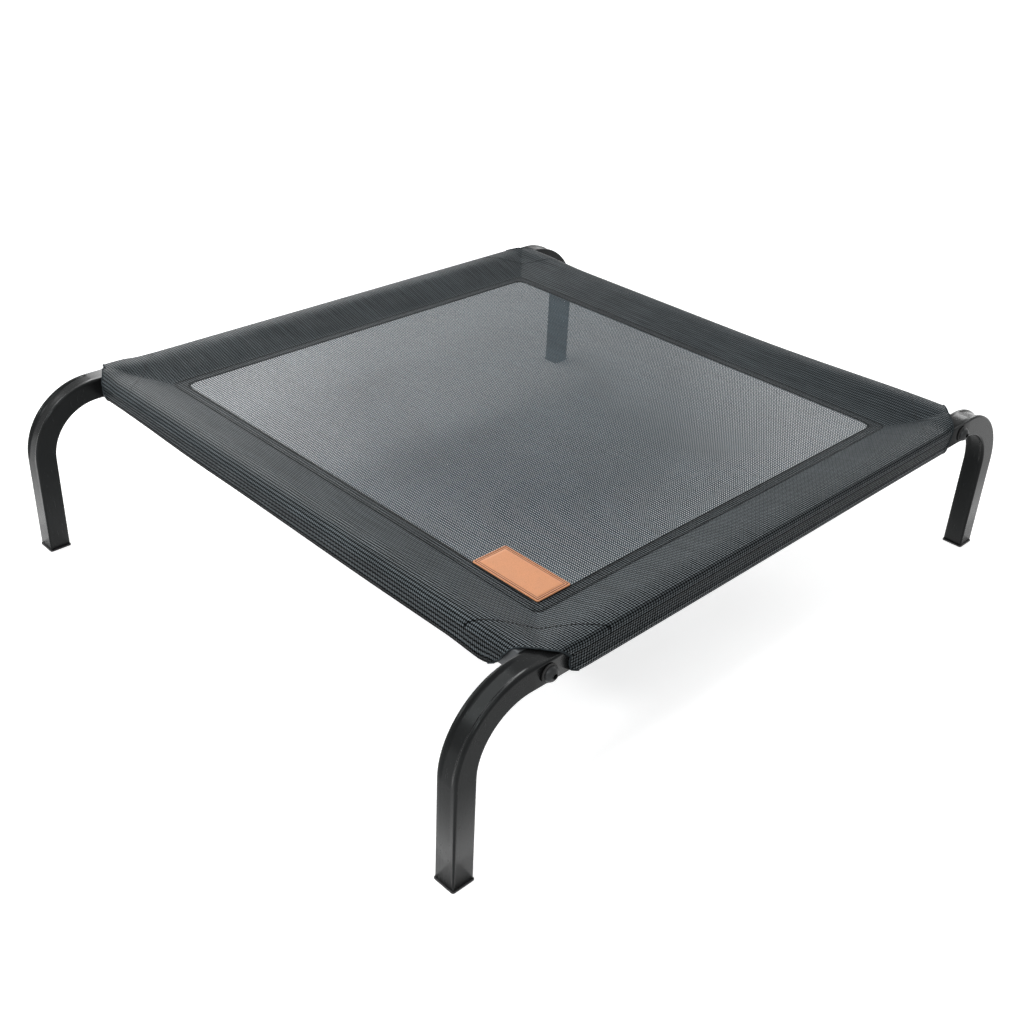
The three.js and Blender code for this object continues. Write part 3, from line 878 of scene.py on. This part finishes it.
def cover_mesh(settings):
    """One thin sheet: the top, the outer faces of the sleeves, and their undersides back to the hem."""
    end_section, side_section = border_section(settings, 2.2), border_section(settings, 4)
    heights = [z for _, z in end_section]
    drop = 2 * heights[-1]
    x_grid = CoverGrid(end_section, CROSS_X + HALF - settings.border, 56)
    y_grid = CoverGrid(side_section, SIDE_Y + HALF - settings.border, 60)
    bm = bmesh.new()
    cloth = bm.loops.layers.uv.new("cloth")
    part = bm.faces.layers.int.new("part")

    def level(i, j):
        step = max(x_grid.lines[i][2], y_grid.lines[j][2])
        return heights[step] if step >= 0 else 0

    def sheet(sign):
        verts = {}
        for i, (x, _, _) in enumerate(x_grid.lines):
            for j, (y, _, _) in enumerate(y_grid.lines):
                verts[i, j] = bm.verts.new((x, y, RAIL_Z + sign * level(i, j)))
        return verts

    columns, rows = len(x_grid.lines), len(y_grid.lines)
    upper = sheet(1)
    lower = sheet(-1)

    def border_cell(grid, i):
        return max(grid.lines[i][2], grid.lines[i + 1][2])

    def in_border(grid, i):
        middle = (grid.lines[i][0] + grid.lines[i + 1][0]) / 2
        return abs(middle) > grid.window

    def add(corners, lengths, kind):
        face = bm.faces.new(corners)
        face[part] = kind
        for loop, place in zip(face.loops, lengths):
            loop[cloth].uv = place

    def cell(verts, i, j, place, kind, flip):
        corners = [(i, j), (i + 1, j), (i + 1, j + 1), (i, j + 1)]
        at_corner = in_border(x_grid, i) and in_border(y_grid, j)
        if at_corner and border_cell(x_grid, i) == border_cell(y_grid, j):
            rising = (x_grid.lines[i][0] > 0) == (y_grid.lines[j][0] > 0)
            split = [(0, 1, 2), (0, 2, 3)] if rising else [(0, 1, 3), (1, 2, 3)]
        else:
            split = [(0, 1, 2, 3)]
        for turn in split:
            picked = [corners[n] for n in turn]
            if flip:
                picked.reverse()
            add([verts[c] for c in picked], [place(c, picked) for c in picked], kind)

    def flat_length(c, _):
        return x_grid.lines[c[0]][1], y_grid.lines[c[1]][1]

    def folded_length(c, picked):
        """Under the bed the cloth has gone round the rail, so its length goes on from the outer face."""
        middle_x = sum(x_grid.lines[p[0]][0] for p in picked) / len(picked)
        middle_y = sum(y_grid.lines[p[1]][0] for p in picked) / len(picked)
        x, s_x, _ = x_grid.lines[c[0]]
        y, s_y, _ = y_grid.lines[c[1]]
        if abs(middle_x) - x_grid.window > abs(middle_y) - y_grid.window:
            return math.copysign(2 * x_grid.edge_length + drop - abs(s_x), middle_x), y
        return x, math.copysign(2 * y_grid.edge_length + drop - abs(s_y), middle_y)

    for i in range(columns - 1):
        for j in range(rows - 1):
            cell(upper, i, j, flat_length, TOP, False)
            if in_border(x_grid, i) or in_border(y_grid, j):
                cell(lower, i, j, folded_length, UNDERSIDE, True)
    for vert in [vert for vert in lower.values() if not vert.link_faces]:
        bm.verts.remove(vert)

    def outer_face(upper_row, lower_row, place, kind, flip):
        """Rows of quads between the top's edge and the underside's edge."""
        rings = [upper_row]
        for step in range(1, DROP_STEPS):
            share = step / DROP_STEPS
            rings.append([bm.verts.new(a.co.lerp(b.co, share)) for a, b in zip(upper_row, lower_row)])
        rings.append(lower_row)
        for step, (high, low) in enumerate(zip(rings, rings[1:])):
            for n in range(len(high) - 1):
                corners = [high[n], high[n + 1], low[n + 1], low[n]]
                lengths = [place(n, step), place(n + 1, step), place(n + 1, step + 1), place(n, step + 1)]
                if flip:
                    corners.reverse()
                    lengths.reverse()
                add(corners, lengths, kind)

    fall = drop / DROP_STEPS
    for sign, i in ((-1, 0), (1, columns - 1)):
        outer_face(
            [upper[i, j] for j in range(rows)],
            [lower[i, j] for j in range(rows)],
            lambda n, step: (sign * (x_grid.edge_length + fall * step), y_grid.lines[n][0]),
            END_FACE,
            sign < 0,
        )
    for sign, j in ((-1, 0), (1, rows - 1)):
        outer_face(
            [upper[i, j] for i in range(columns)],
            [lower[i, j] for i in range(columns)],
            lambda n, step: (x_grid.lines[n][0], sign * (y_grid.edge_length + fall * step)),
            SIDE_FACE,
            sign > 0,
        )

    cut_corners(bm, part, settings)
    paint_face_shade(bm, part)
    for vert in bm.verts:
        vert.co = settle(vert.co)
    return to_mesh(bm, "cover", math.pi, outward=False)


def paint_face_shade(bm, part):
    """Keeps on each face a painted shade for the cloth's material: on undersides, outer faces and side
    sleeves' crowns.
    """
    shade = bm.faces.layers.float.new("shade")
    for face in bm.faces:
        face[shade] = FACE_PAINTED_SHADE[face[part]]
        # A side sleeve's crown takes the most painted shade where it is level
        if abs(face.normal.y) > SIDE_SLEEVE_LEAN:
            if face[part] == TOP:
                face[shade] = 1.0 - CROWN_PAINTED_SHADE * abs(face.normal.z)
            elif face[part] == UNDERSIDE:
                face[shade] = SIDE_UNDERSIDE_PAINTED_SHADE


def cut_corners(bm, part, settings):
    """Cuts the sheet away at each corner, so that the arms come out."""
    slack = settings.fit - 0.4 * MM
    reach_x, reach_y = CROSS_X + HALF + slack, SIDE_Y + HALF + slack
    crown_z = RAIL_Z + HALF + settings.fit
    top_z, low_z = RAIL_Z + HALF - 7 * MM, RAIL_Z - HALF + 7 * MM
    window_x, window_y = CROSS_X + HALF - settings.border, SIDE_Y + HALF - settings.border
    for corner, end, side in CORNERS:
        end_top, side_top, end_fall, side_fall, lean, slant = CUTS[corner]
        side_brim = side_top - slant * (crown_z - top_z)
        end_low, side_low = end_top - end_fall, side_brim - side_fall
        across_top = (reach_x - side_top, end_top - reach_y, 0)
        across_low = (reach_x - side_low, end_low - reach_y, 0)
        # Kind of face, whether past the mitre (None for both), a point of the cut, two lines in it
        cuts = [
            (TOP, False, (reach_x, end_top, crown_z), across_top, (0, 0, 1)),
            (TOP, True, (reach_x, end_top, crown_z), across_top, (slant, 0, 1)),
            (UNDERSIDE, None, (reach_x, end_low, low_z), across_low, (lean / 2, lean / 2, 1)),
            (END_FACE, None, (reach_x, end_top, top_z), (0, end_fall, top_z - low_z), (1, 0, 0)),
            (SIDE_FACE, None, (side_brim, reach_y, top_z), (side_fall, 0, top_z - low_z), (0, 1, 0)),
        ]
        for kind, past_mitre, point, line, axis in cuts:
            along = Vector((end * line[0], side * line[1], line[2]))
            normal = along.cross(Vector((end * axis[0], side * axis[1], axis[2])))
            if normal.dot(Vector((end, side, 0))) < 0:
                normal = -normal
            faces = []
            for face in bm.faces:
                x, y, _ = face.calc_center_median()
                x, y = end * x, side * y
                here = x > 0 and y > 0 and past_mitre in (None, y - window_y > x - window_x)
                if here and face[part] == kind:
                    faces.append(face)
            # Dictionaries keep their order, so that the cut is the same each run
            edges = dict.fromkeys(edge for face in faces for edge in face.edges)
            verts = dict.fromkeys(vert for face in faces for vert in face.verts)
            bmesh.ops.bisect_plane(
                bm,
                geom=[*faces, *edges, *verts],
                plane_co=(end * point[0], side * point[1], point[2]),
                plane_no=normal,
                dist=1e-6,
                clear_outer=True,
            )


def settle(point):
    """How the cloth sits: it hangs off the undersides of the rails, and stands proud in places."""
    x, y, z = point
    end, side = math.copysign(1, x), math.copysign(1, y)
    reach_x, reach_y = abs(x) - (CROSS_X - HALF), abs(y) - (SIDE_Y - HALF)
    low = smooth_step(RAIL_Z + 8 * MM, RAIL_Z - 10 * MM, z)
    high = smooth_step(RAIL_Z - HALF, RAIL_Z + HALF, z)
    shift = 0
    # Slack under each sleeve, most towards the front left corner
    if reach_x > 0:
        slack = 4.2 * smooth_step(0.32, 0.12, y) + 2.8 * smooth_step(0.1, -0.18, y)
        slack += 2.6 * smooth_step(-0.26, -0.31, y) - 4.5 * smooth_step(-0.305, -0.33, y)
        bulge = max(0, 1 - ((z - RAIL_Z) / (15 * MM)) ** 2)
        x += end * 1.8 * MM * bulge * smooth_step(20 * MM, 26 * MM, reach_x)
        shift -= low * slack * (1 if end < 0 else 0.4) * MM * smooth_step(0, 20 * MM, reach_x)
    if reach_y > 0:
        slack = (1.3 + 3.2 * smooth_step(0.3, -0.3, x)) * (1 if side < 0 else 0.4)
        shift -= low * slack * MM * smooth_step(0, 20 * MM, reach_y)
    # The right sleeve's top lifts off the rail towards its corners, most at the front
    if end > 0 and reach_x > -40 * MM:
        lift = smooth_step(0.05, -0.345, y) ** 2 * 7.6 * MM * smooth_step(-30 * MM, 8 * MM, reach_x)
        lift += smooth_step(0.24, 0.34, y) * 3.2 * MM * smooth_step(-6 * MM, 10 * MM, reach_x)
        shift += lift * high
    # The rear sleeve's top lifts at the rear left corner
    if side > 0 and reach_y > -20 * MM:
        lift = 1.6 * smooth_step(-0.27, -0.335, x) * MM
        shift += lift * smooth_step(-15 * MM, 8 * MM, reach_y) * high
    # The front sleeve draws in round the front left arm
    if side < 0 and end < 0:
        y += 1.3 * MM * smooth_step(0.298, 0.322, -x) * smooth_step(18 * MM, 26 * MM, reach_y)
    # The cut edge rides up on the rear left arm
    if side > 0 and end < 0:
        shift += 1.6 * MM * smooth_step(0.68, 0.7, abs(x) + abs(y)) * high
    # The window's front left corner is drawn out
    if end < 0 and side < 0:
        near_x = smooth_step(0.12, 0.28, -x) * smooth_step(0.348, 0.3, -x)
        near_y = smooth_step(0.14, 0.3, -y) * smooth_step(0.368, 0.318, -y)
        x -= 2.5 * MM * near_x * smooth_step(0.12, 0.3, -y)
        y -= 1.4 * MM * near_y * smooth_step(0.1, 0.28, -x)
    # Shallow ripples between the hem and the rails
    border = max(reach_x, reach_y) + 42 * MM
    ripple = smooth_step(0, 20 * MM, border) * smooth_step(62 * MM, 42 * MM, border)
    shift += noise.noise(Vector((x * 22, y * 22, 3.7))) * 0.9 * MM * ripple * math.copysign(1, z - RAIL_Z)
    return Vector((x, y, z + shift))


class DOGBED_OT_cover(bpy.types.Operator):
    """Mesh cover, stretched round the rails"""

    bl_idname = "dogbed.cover"
    bl_label = "Cover"

    def execute(self, context):
        settings = context.scene.bed_cover
        mesh = cover_mesh(settings)
        seat("mesh_cover", mesh, mesh_cloth(settings), ["fabric_cover"])
        return {"FINISHED"}


# Stitching


def polyline(name, points, closed):
    curve = bpy.data.curves.new(name, "CURVE")
    curve.dimensions = "3D"
    spline = curve.splines.new("POLY")
    spline.points.add(len(points) - 1)
    for target, point in zip(spline.points, points):
        target.co = (*point, 1)
    spline.use_cyclic_u = closed
    path = bpy.data.objects.new(name, curve)
    bpy.context.scene.collection.objects.link(path)
    return path


def start_tree(name, inputs, output):
    """A Geometry Nodes tree that takes a path, the given numbers and a material."""
    tree = bpy.data.node_groups.new(name, "GeometryNodeTree")
    tree.interface.new_socket("Path", in_out="INPUT", socket_type="NodeSocketGeometry")
    for label, value in inputs.items():
        socket = tree.interface.new_socket(label, in_out="INPUT", socket_type="NodeSocketFloat")
        socket.default_value = value
    tree.interface.new_socket("Material", in_out="INPUT", socket_type="NodeSocketMaterial")
    tree.interface.new_socket(output, in_out="OUTPUT", socket_type="NodeSocketGeometry")
    nodes = Recipe(tree)
    return nodes, nodes.add("NodeGroupInput").outputs


def finish_tree(nodes, given, geometry):
    """Makes what was placed real and smooth, in the given material. Returns the tree."""
    real = nodes.add("GeometryNodeRealizeInstances", {"Geometry": geometry}).outputs[0]
    smooth = nodes.add("GeometryNodeSetShadeSmooth", {"Geometry": real}).outputs[0]
    dyed = nodes.add("GeometryNodeSetMaterial", {"Geometry": smooth, "Material": given["Material"]})
    nodes.tree.links.new(dyed.outputs[0], nodes.add("NodeGroupOutput").inputs[0])
    return nodes.tree


def stitch_tree():
    """Stitches laid end to end along a curve. The share is a stitch's part of the pitch."""
    defaults = {"Pitch": 3 * MM, "Thread": 0.6 * MM, "Stitch share": 0.8}
    nodes, given = start_tree("stitches", defaults, "Stitches")
    spacing = {"Curve": given["Path"], "Length": given["Pitch"]}
    places = nodes.add("GeometryNodeCurveToPoints", spacing, mode="LENGTH").outputs
    ball = nodes.add("GeometryNodeMeshUVSphere", {"Segments": 8, "Rings": 6, "Radius": 0.5}).outputs["Mesh"]
    along = nodes.times(given["Pitch"], given["Stitch share"])
    size = nodes.add("ShaderNodeCombineXYZ", {"X": given["Thread"], "Y": given["Thread"], "Z": along})
    laid = nodes.add("GeometryNodeInstanceOnPoints", {
        "Points": places["Points"],
        "Instance": ball,
        "Rotation": places["Rotation"],
        "Scale": size.outputs[0],
    })
    return finish_tree(nodes, given, laid.outputs[0])


def roll_tree():
    """A round bead swept along a curve."""
    nodes, given = start_tree("rolled_edge", {"Radius": 1 * MM}, "Bead")
    ring = nodes.add("GeometryNodeCurvePrimitiveCircle", {"Resolution": 10, "Radius": given["Radius"]})
    sweep = {"Curve": given["Path"], "Profile Curve": ring.outputs["Curve"]}
    return finish_tree(nodes, given, nodes.add("GeometryNodeCurveToMesh", sweep).outputs[0])


def grow(path, tree, values):
    """Runs a Geometry Nodes tree on a path with the given inputs, and returns the result as a plain mesh."""
    modifier = path.modifiers.new(tree.name, "NODES")
    modifier.node_group = tree
    for item in tree.interface.items_tree:
        if item.item_type == "SOCKET" and item.in_out == "INPUT" and item.name in values:
            modifier[item.identifier] = values[item.name]
    evaluated = path.evaluated_get(bpy.context.evaluated_depsgraph_get())
    mesh = bpy.data.meshes.new_from_object(evaluated)
    path.modifiers.remove(modifier)
    bpy.data.objects.remove(path)
    return mesh


def rectangle(x, y, z, step=20 * MM):
    """Points round a rectangle of half sizes x and y."""
    corners = [Vector((x, y, z)), Vector((-x, y, z)), Vector((-x, -y, z)), Vector((x, -y, z))]
    points = []
    for start, stop in zip(corners, corners[1:] + corners[:1]):
        count = max(1, round((stop - start).length / step))
        points += [start.lerp(stop, n / count) for n in range(count)]
    return points


def evened(points, step, rounds):
    """A closed line respaced at about the given step and smoothed."""
    spans = [(b - a).length for a, b in zip(points, points[1:] + points[:1])]
    count = max(12, round(sum(spans) / step))
    made, index, walked = [], 0, 0.0
    for n in range(count):
        target = sum(spans) * n / count
        while walked + spans[index] < target:
            walked += spans[index]
            index += 1
        share = (target - walked) / spans[index] if spans[index] else 0
        made.append(points[index].lerp(points[(index + 1) % len(points)], share))
    for _ in range(rounds):
        made = [(made[i - 1] + made[i] * 2 + made[(i + 1) % count]) / 4 for i in range(count)]
    return made


# Open edges of the cover are at an arm's mouth where |X| + |Y| is over this
MOUTH = 0.625


def mouths(cover):
    """The open edge of the cover round each arm: a closed line of points for each corner."""
    bm = bmesh.new()
    bm.from_mesh(cover.data)
    edges, lines = [], []
    for edge in bm.edges:
        reach = sum(abs(vert.co.x) + abs(vert.co.y) for vert in edge.verts) / 2
        if len(edge.link_faces) == 1 and reach > MOUTH:
            edges.append(edge)
    while edges:
        chain = list(edges.pop().verts)
        grown = True
        while grown:
            grown = False
            for edge in edges:
                if chain[-1] in edge.verts:
                    chain.append(edge.other_vert(chain[-1]))
                    edges.remove(edge)
                    grown = True
                    break
        lines.append([vert.co.copy() for vert in chain[:-1]])
    bm.free()
    return lines


def laid(cover, points, lift):
    """Points put on the cloth from above."""
    above, down = 0.3, Vector((0, 0, -1))
    placed = []
    for point in points:
        hit, place, _, _ = cover.ray_cast(Vector((point.x, point.y, above)), down)
        if hit:
            placed.append(place + Vector((0, 0, lift)))
    return placed


class DOGBED_OT_stitching(bpy.types.Operator):
    """Rolled edges round the arms, and rows of stitches along the hem and across the corners"""

    bl_idname = "dogbed.stitching"
    bl_label = "Stitching"

    def execute(self, context):
        settings = context.scene.bed_cover
        cover = bpy.data.objects["mesh_cover"]
        tree = stitch_tree()
        roll = roll_tree()
        black = thread("black_thread", settings.thread_colour)
        binding = thread("binding", [settings.binding * level for level in settings.yarn], 0)
        window_x = CROSS_X + HALF - settings.border
        window_y = SIDE_Y + HALF - settings.border
        values = {
            "Pitch": settings.thread_pitch,
            "Thread": settings.thread,
            "Stitch share": 0.82,
            "Material": black,
        }
        lift = settings.thread * 0.3
        for name, inset in (("inner", 2 * MM), ("outer", settings.hem_width - 1.5 * MM)):
            points = evened(rectangle(window_x + inset, window_y + inset, 0, 10 * MM), 3 * MM, 12)
            path = polyline(f"hem_path_{name}", laid(cover, points, lift), True)
            seat(f"hem_stitches_{name}", grow(path, tree, values), None)
        for corner, end, side in CORNERS:
            seam = settings.corner_seam
            first, last = CROSS_X + 8 * MM, seam - SIDE_Y - 8 * MM
            points = []
            for n in range(31):
                x = first + (last - first) * n / 30
                points.append(Vector((end * x, side * (seam - x), 0)))
            path = polyline(f"corner_path_{corner}", laid(cover, points, lift), False)
            seat(f"corner_stitches_{corner}", grow(path, tree, values), None)
        for line in mouths(cover):
            middle = sum(line, Vector()) / len(line)
            corner = f"{'front' if middle.y < 0 else 'rear'}_{'left' if middle.x < 0 else 'right'}"
            path = polyline(f"mouth_path_{corner}", evened(line, 1.5 * MM, 3), True)
            rolled = grow(path, roll, {"Radius": settings.rolled_edge, "Material": binding})
            seat(f"rolled_edge_{corner}", rolled, None)
        return {"FINISHED"}


# Label


def label_mesh(settings):
    """A leather patch with soft edges and a pressed border."""
    middle = (LABEL_LOW + LABEL_HIGH) / 2
    half = (LABEL_HIGH - LABEL_LOW) / 2
    low, high = LABEL_LOW.z, LABEL_HIGH.z
    rows = [(0.3 * MM, low, 0), (0, low + 0.3 * MM, 0), (0, high - 0.5 * MM, 0)]
    rows += [(0.25 * MM, high - 0.15 * MM, 0), (0.7 * MM, high, 0)]
    for start, width, depth in ((settings.groove, 1 * MM, 0.25 * MM), (settings.line, 0.75 * MM, 0.15 * MM)):
        rows += [(start - 0.1 * MM, high, 0), (start + 0.1 * MM, high - depth, 1)]
        rows += [(start + width - 0.1 * MM, high - depth, 1), (start + width + 0.1 * MM, high, 0)]
    rows.append((settings.line + 4 * MM, high, 0))
    bm = bmesh.new()
    pressed = bm.verts.layers.float.new("pressed")
    rings = []
    for inset, height, _ in rows:
        radius = max(settings.corner - inset, 0.3 * MM)
        ring = []
        for corner, (sx, sy) in enumerate(((1, 1), (-1, 1), (-1, -1), (1, -1))):
            for step in range(7):
                turn = corner * math.pi / 2 + step / 6 * math.pi / 2
                x = middle.x + sx * (half.x - inset - radius) + radius * math.cos(turn)
                y = middle.y + sy * (half.y - inset - radius) + radius * math.sin(turn)
                ring.append(Vector((x, y, height)))
        rings.append(ring)
    made = skin(bm, rings, closed_ends=True)
    for row, (_, _, amount) in zip(made, rows):
        for vert in row:
            vert[pressed] = amount
    return to_mesh(bm, "label", math.radians(50))


def state_sheet():
    """Adds up the cover's flat area from its own cloth coordinates, and keeps nothing of it."""
    cover = bpy.data.objects["mesh_cover"]
    uv = cover.data.uv_layers["cloth"].data
    flat_area = 0
    for face in cover.data.polygons:
        corners = [uv[i].uv for i in face.loop_indices]
        flat_area += abs(sum(a.cross(b) for a, b in zip(corners, corners[1:] + corners[:1]))) / 2


class DOGBED_OT_label(bpy.types.Operator):
    """Bare leather label with a pressed, stitched border"""

    bl_idname = "dogbed.label"
    bl_label = "Label"

    def execute(self, context):
        settings = context.scene.bed_label
        seat("leather_patch", label_mesh(settings), leather(settings), ["leather_label"])
        middle, half = (LABEL_LOW + LABEL_HIGH) / 2, (LABEL_HIGH - LABEL_LOW) / 2
        inset = settings.groove + 0.45 * MM
        outline = rectangle(half.x - inset, half.y - inset, LABEL_HIGH.z - 0.1 * MM)
        points = [point + Vector((middle.x, middle.y, 0)) for point in outline]
        path = polyline("label_path", points, True)
        values = {
            "Pitch": 2.6 * MM,
            "Thread": 0.6 * MM,
            "Stitch share": 0.8,
            "Material": thread("brown_thread", settings.border),
        }
        seat("label_stitches", grow(path, bpy.data.node_groups["stitches"], values), None)
        state_sheet()
        return {"FINISHED"}


# Stage


def make_camera(settings):
    a, e = settings.azimuth, settings.elevation
    back = Vector((math.sin(a) * math.cos(e), -math.cos(a) * math.cos(e), math.sin(e)))
    level = Vector((0, 0, 1)).cross(back).normalized()
    upward = back.cross(level)
    right = math.cos(settings.roll) * level + math.sin(settings.roll) * upward
    up = math.cos(settings.roll) * upward - math.sin(settings.roll) * level
    camera = bpy.data.objects.new("camera", bpy.data.cameras.new("camera"))
    bpy.context.scene.collection.objects.link(camera)
    place = right * settings.across + up * settings.up + back * settings.distance
    camera.matrix_world = Matrix((right, up, back)).transposed().to_4x4()
    camera.location = place
    camera.data.sensor_width = 36
    camera.data.lens = settings.lens
    camera.data.clip_start = 0.01
    bpy.context.scene.camera = camera


# The low lamps, far to the right and rear: degrees round from +X, width, and share of the low lamps' power
LOW_LAMPS = {
    "right": (12, 1.0, 0.4),
    "rear_right": (27, 1.0, 0.25),
    "rear_left": (64, 2.6, 1.8),
    "left": (104, 0.8, 0.5),
}
LOW_LAMP_DISTANCE, LOW_LAMP_RISE = 4.2, 0.38

# The lamps near the bed, each named like its setting: place, width and height
LAMPS = {
    "front_lamp": ((-1.6, -1.6, 2.6), 0.9, 0.9),
    "top_lamp": ((0.1, 1.6, 2.4), 0.6, 0.6),
    "long_lamp": ((-0.8, 1.35, 2.35), 2.0, 1.0),
    "left_lamp": ((-1.75, 1.3, 1.6), 1.1, 1.1),
    "side_lamp": ((-2.25, -0.6, 1.7), 0.35, 0.35),
    "right_lamp": ((2.4, -0.7, 1.9), 0.8, 0.8),
}
LAMP_TARGET = Vector((0, 0, 0.15))

# Painted light and shadow on the floor: an oval towards the rear right corner keeps the bed's shadow and is
# left darker as a painted shadow, and the floor's painted glow rises round it: two distances from the oval's
# middle, and the light added between them
PAINTED_SHADOW_PLACE, PAINTED_SHADOW_SQUEEZE = (0.48, 0, 0), (0.65, 1, 1)
FLOOR_PAINTED_GLOW = (0.24, 0.42, 0.55), (0.8, 2.4, 0.6)


def make_lamp(name, place, width, height, watts):
    lamp = bpy.data.objects.new(name, bpy.data.lights.new(name, "AREA"))
    bpy.context.scene.collection.objects.link(lamp)
    lamp.data.shape = "ELLIPSE"
    lamp.data.size = width
    lamp.data.size_y = height
    lamp.data.energy = watts
    lamp.location = place
    lamp.rotation_euler = (LAMP_TARGET - Vector(place)).to_track_quat("-Z", "Y").to_euler()


def make_lamps(settings):
    for name, (degrees, size, share) in LOW_LAMPS.items():
        turn = math.radians(degrees)
        place = Vector((math.cos(turn), math.sin(turn), LOW_LAMP_RISE)) * LOW_LAMP_DISTANCE
        make_lamp(f"low_lamp_{name}", place, size, size, settings.low_lamps * share)
    for name, (place, width, height) in LAMPS.items():
        make_lamp(name, place, width, height, getattr(settings, name))


def seen_rays(nodes):
    """1 for rays that show the background: the camera's, and those in gloss or glass."""
    rays = nodes.add("ShaderNodeLightPath").outputs
    mirrored = nodes.maths("MAXIMUM", rays["Is Glossy Ray"], rays["Is Transmission Ray"])
    return nodes.maths("MAXIMUM", rays["Is Camera Ray"], mirrored)


def make_world(strength):
    """White surroundings: they light the bed at the given strength, and are seen at full strength."""
    world = bpy.data.worlds.new("surroundings")
    world.use_nodes = True
    nodes = Recipe(world.node_tree)
    shown = nodes.between(nodes.minus(1.0, seen_rays(nodes)), 1.0, strength)
    background = nodes.add("ShaderNodeBackground", {"Color": (1, 1, 1, 1), "Strength": shown})
    output = nodes.add("ShaderNodeOutputWorld")
    nodes.tree.links.new(background.outputs[0], output.inputs["Surface"])
    bpy.context.scene.world = world


def floor_material(settings):
    """Pale floor that keeps the bed's shadow, with painted glow added round it where the floor is seen."""
    material, nodes = start_material("floor")
    diffuse = nodes.add("ShaderNodeBsdfDiffuse", {"Color": rgba(settings.floor)}).outputs[0]
    turned_place = {"Vector": nodes.object_place(), "Rotation": (0, 0, -math.pi / 4)}
    oval = nodes.add("ShaderNodeMapping", turned_place).outputs[0]
    oval = nodes.vector("SUBTRACT", oval, PAINTED_SHADOW_PLACE)[0]
    oval = nodes.vector("MULTIPLY", oval, PAINTED_SHADOW_SQUEEZE)[0]
    away = nodes.vector("LENGTH", oval)["Value"]
    lift = settings.floor_lift
    # Painted glow, rising away from the oval and leaving a painted shadow in it
    for near, far, light in FLOOR_PAINTED_GLOW:
        lift = nodes.plus(lift, nodes.remap(away, near, far, 0.0, light))
    glow = nodes.add("ShaderNodeEmission", {"Strength": nodes.times(seen_rays(nodes), lift)}).outputs[0]
    nodes.surface(nodes.add("ShaderNodeAddShader", {0: diffuse, 1: glow}).outputs[0])
    return material


class DOGBED_OT_stage(bpy.types.Operator):
    """Camera, pale floor and soft lamps"""

    bl_idname = "dogbed.stage"
    bl_label = "Stage"

    def execute(self, context):
        settings = context.scene.bed_stage
        context.scene.view_settings.view_transform = "Standard"
        make_camera(settings)
        make_world(settings.world)
        bm = bmesh.new()
        bmesh.ops.create_grid(bm, x_segments=4, y_segments=4, size=8)
        mesh = bpy.data.meshes.new("floor")
        bm.to_mesh(mesh)
        bm.free()
        mesh.materials.append(floor_material(settings))
        floor = bpy.data.objects.new("floor", mesh)
        context.scene.collection.objects.link(floor)
        make_lamps(settings)
        return {"FINISHED"}


# Panel and registration


class DOGBED_PT_panel(bpy.types.Panel):
    """Lists the pieces of the bed"""

    bl_idname = "DOGBED_PT_panel"
    bl_label = "Raised Dog Bed"
    bl_space_type = "VIEW_3D"
    bl_region_type = "UI"
    bl_category = "Dog Bed"

    def draw(self, context):
        for operator in OPERATORS:
            self.layout.operator(operator.bl_idname)


OPERATORS = (
    DOGBED_OT_stage,
    DOGBED_OT_legs,
    DOGBED_OT_foot_caps,
    DOGBED_OT_rails,
    DOGBED_OT_fasteners,
    DOGBED_OT_cover,
    DOGBED_OT_stitching,
    DOGBED_OT_label,
)
SETTINGS = {
    "bed_frame": BedFrameSettings,
    "bed_cover": BedCoverSettings,
    "bed_label": BedLabelSettings,
    "bed_stage": BedStageSettings,
}


def register():
    for group in SETTINGS.values():
        bpy.utils.register_class(group)
    for operator in OPERATORS:
        bpy.utils.register_class(operator)
    bpy.utils.register_class(DOGBED_PT_panel)
    for name, group in SETTINGS.items():
        setattr(bpy.types.Scene, name, bpy.props.PointerProperty(type=group))


def unregister():
    for name in SETTINGS:
        delattr(bpy.types.Scene, name)
    bpy.utils.unregister_class(DOGBED_PT_panel)
    for kind in (*reversed(OPERATORS), *reversed(tuple(SETTINGS.values()))):
        bpy.utils.unregister_class(kind)


def main():
    register()
    for operator in OPERATORS:
        group, name = operator.bl_idname.split(".")
        getattr(getattr(bpy.ops, group), name)()


if __name__ == "__main__":
    main()
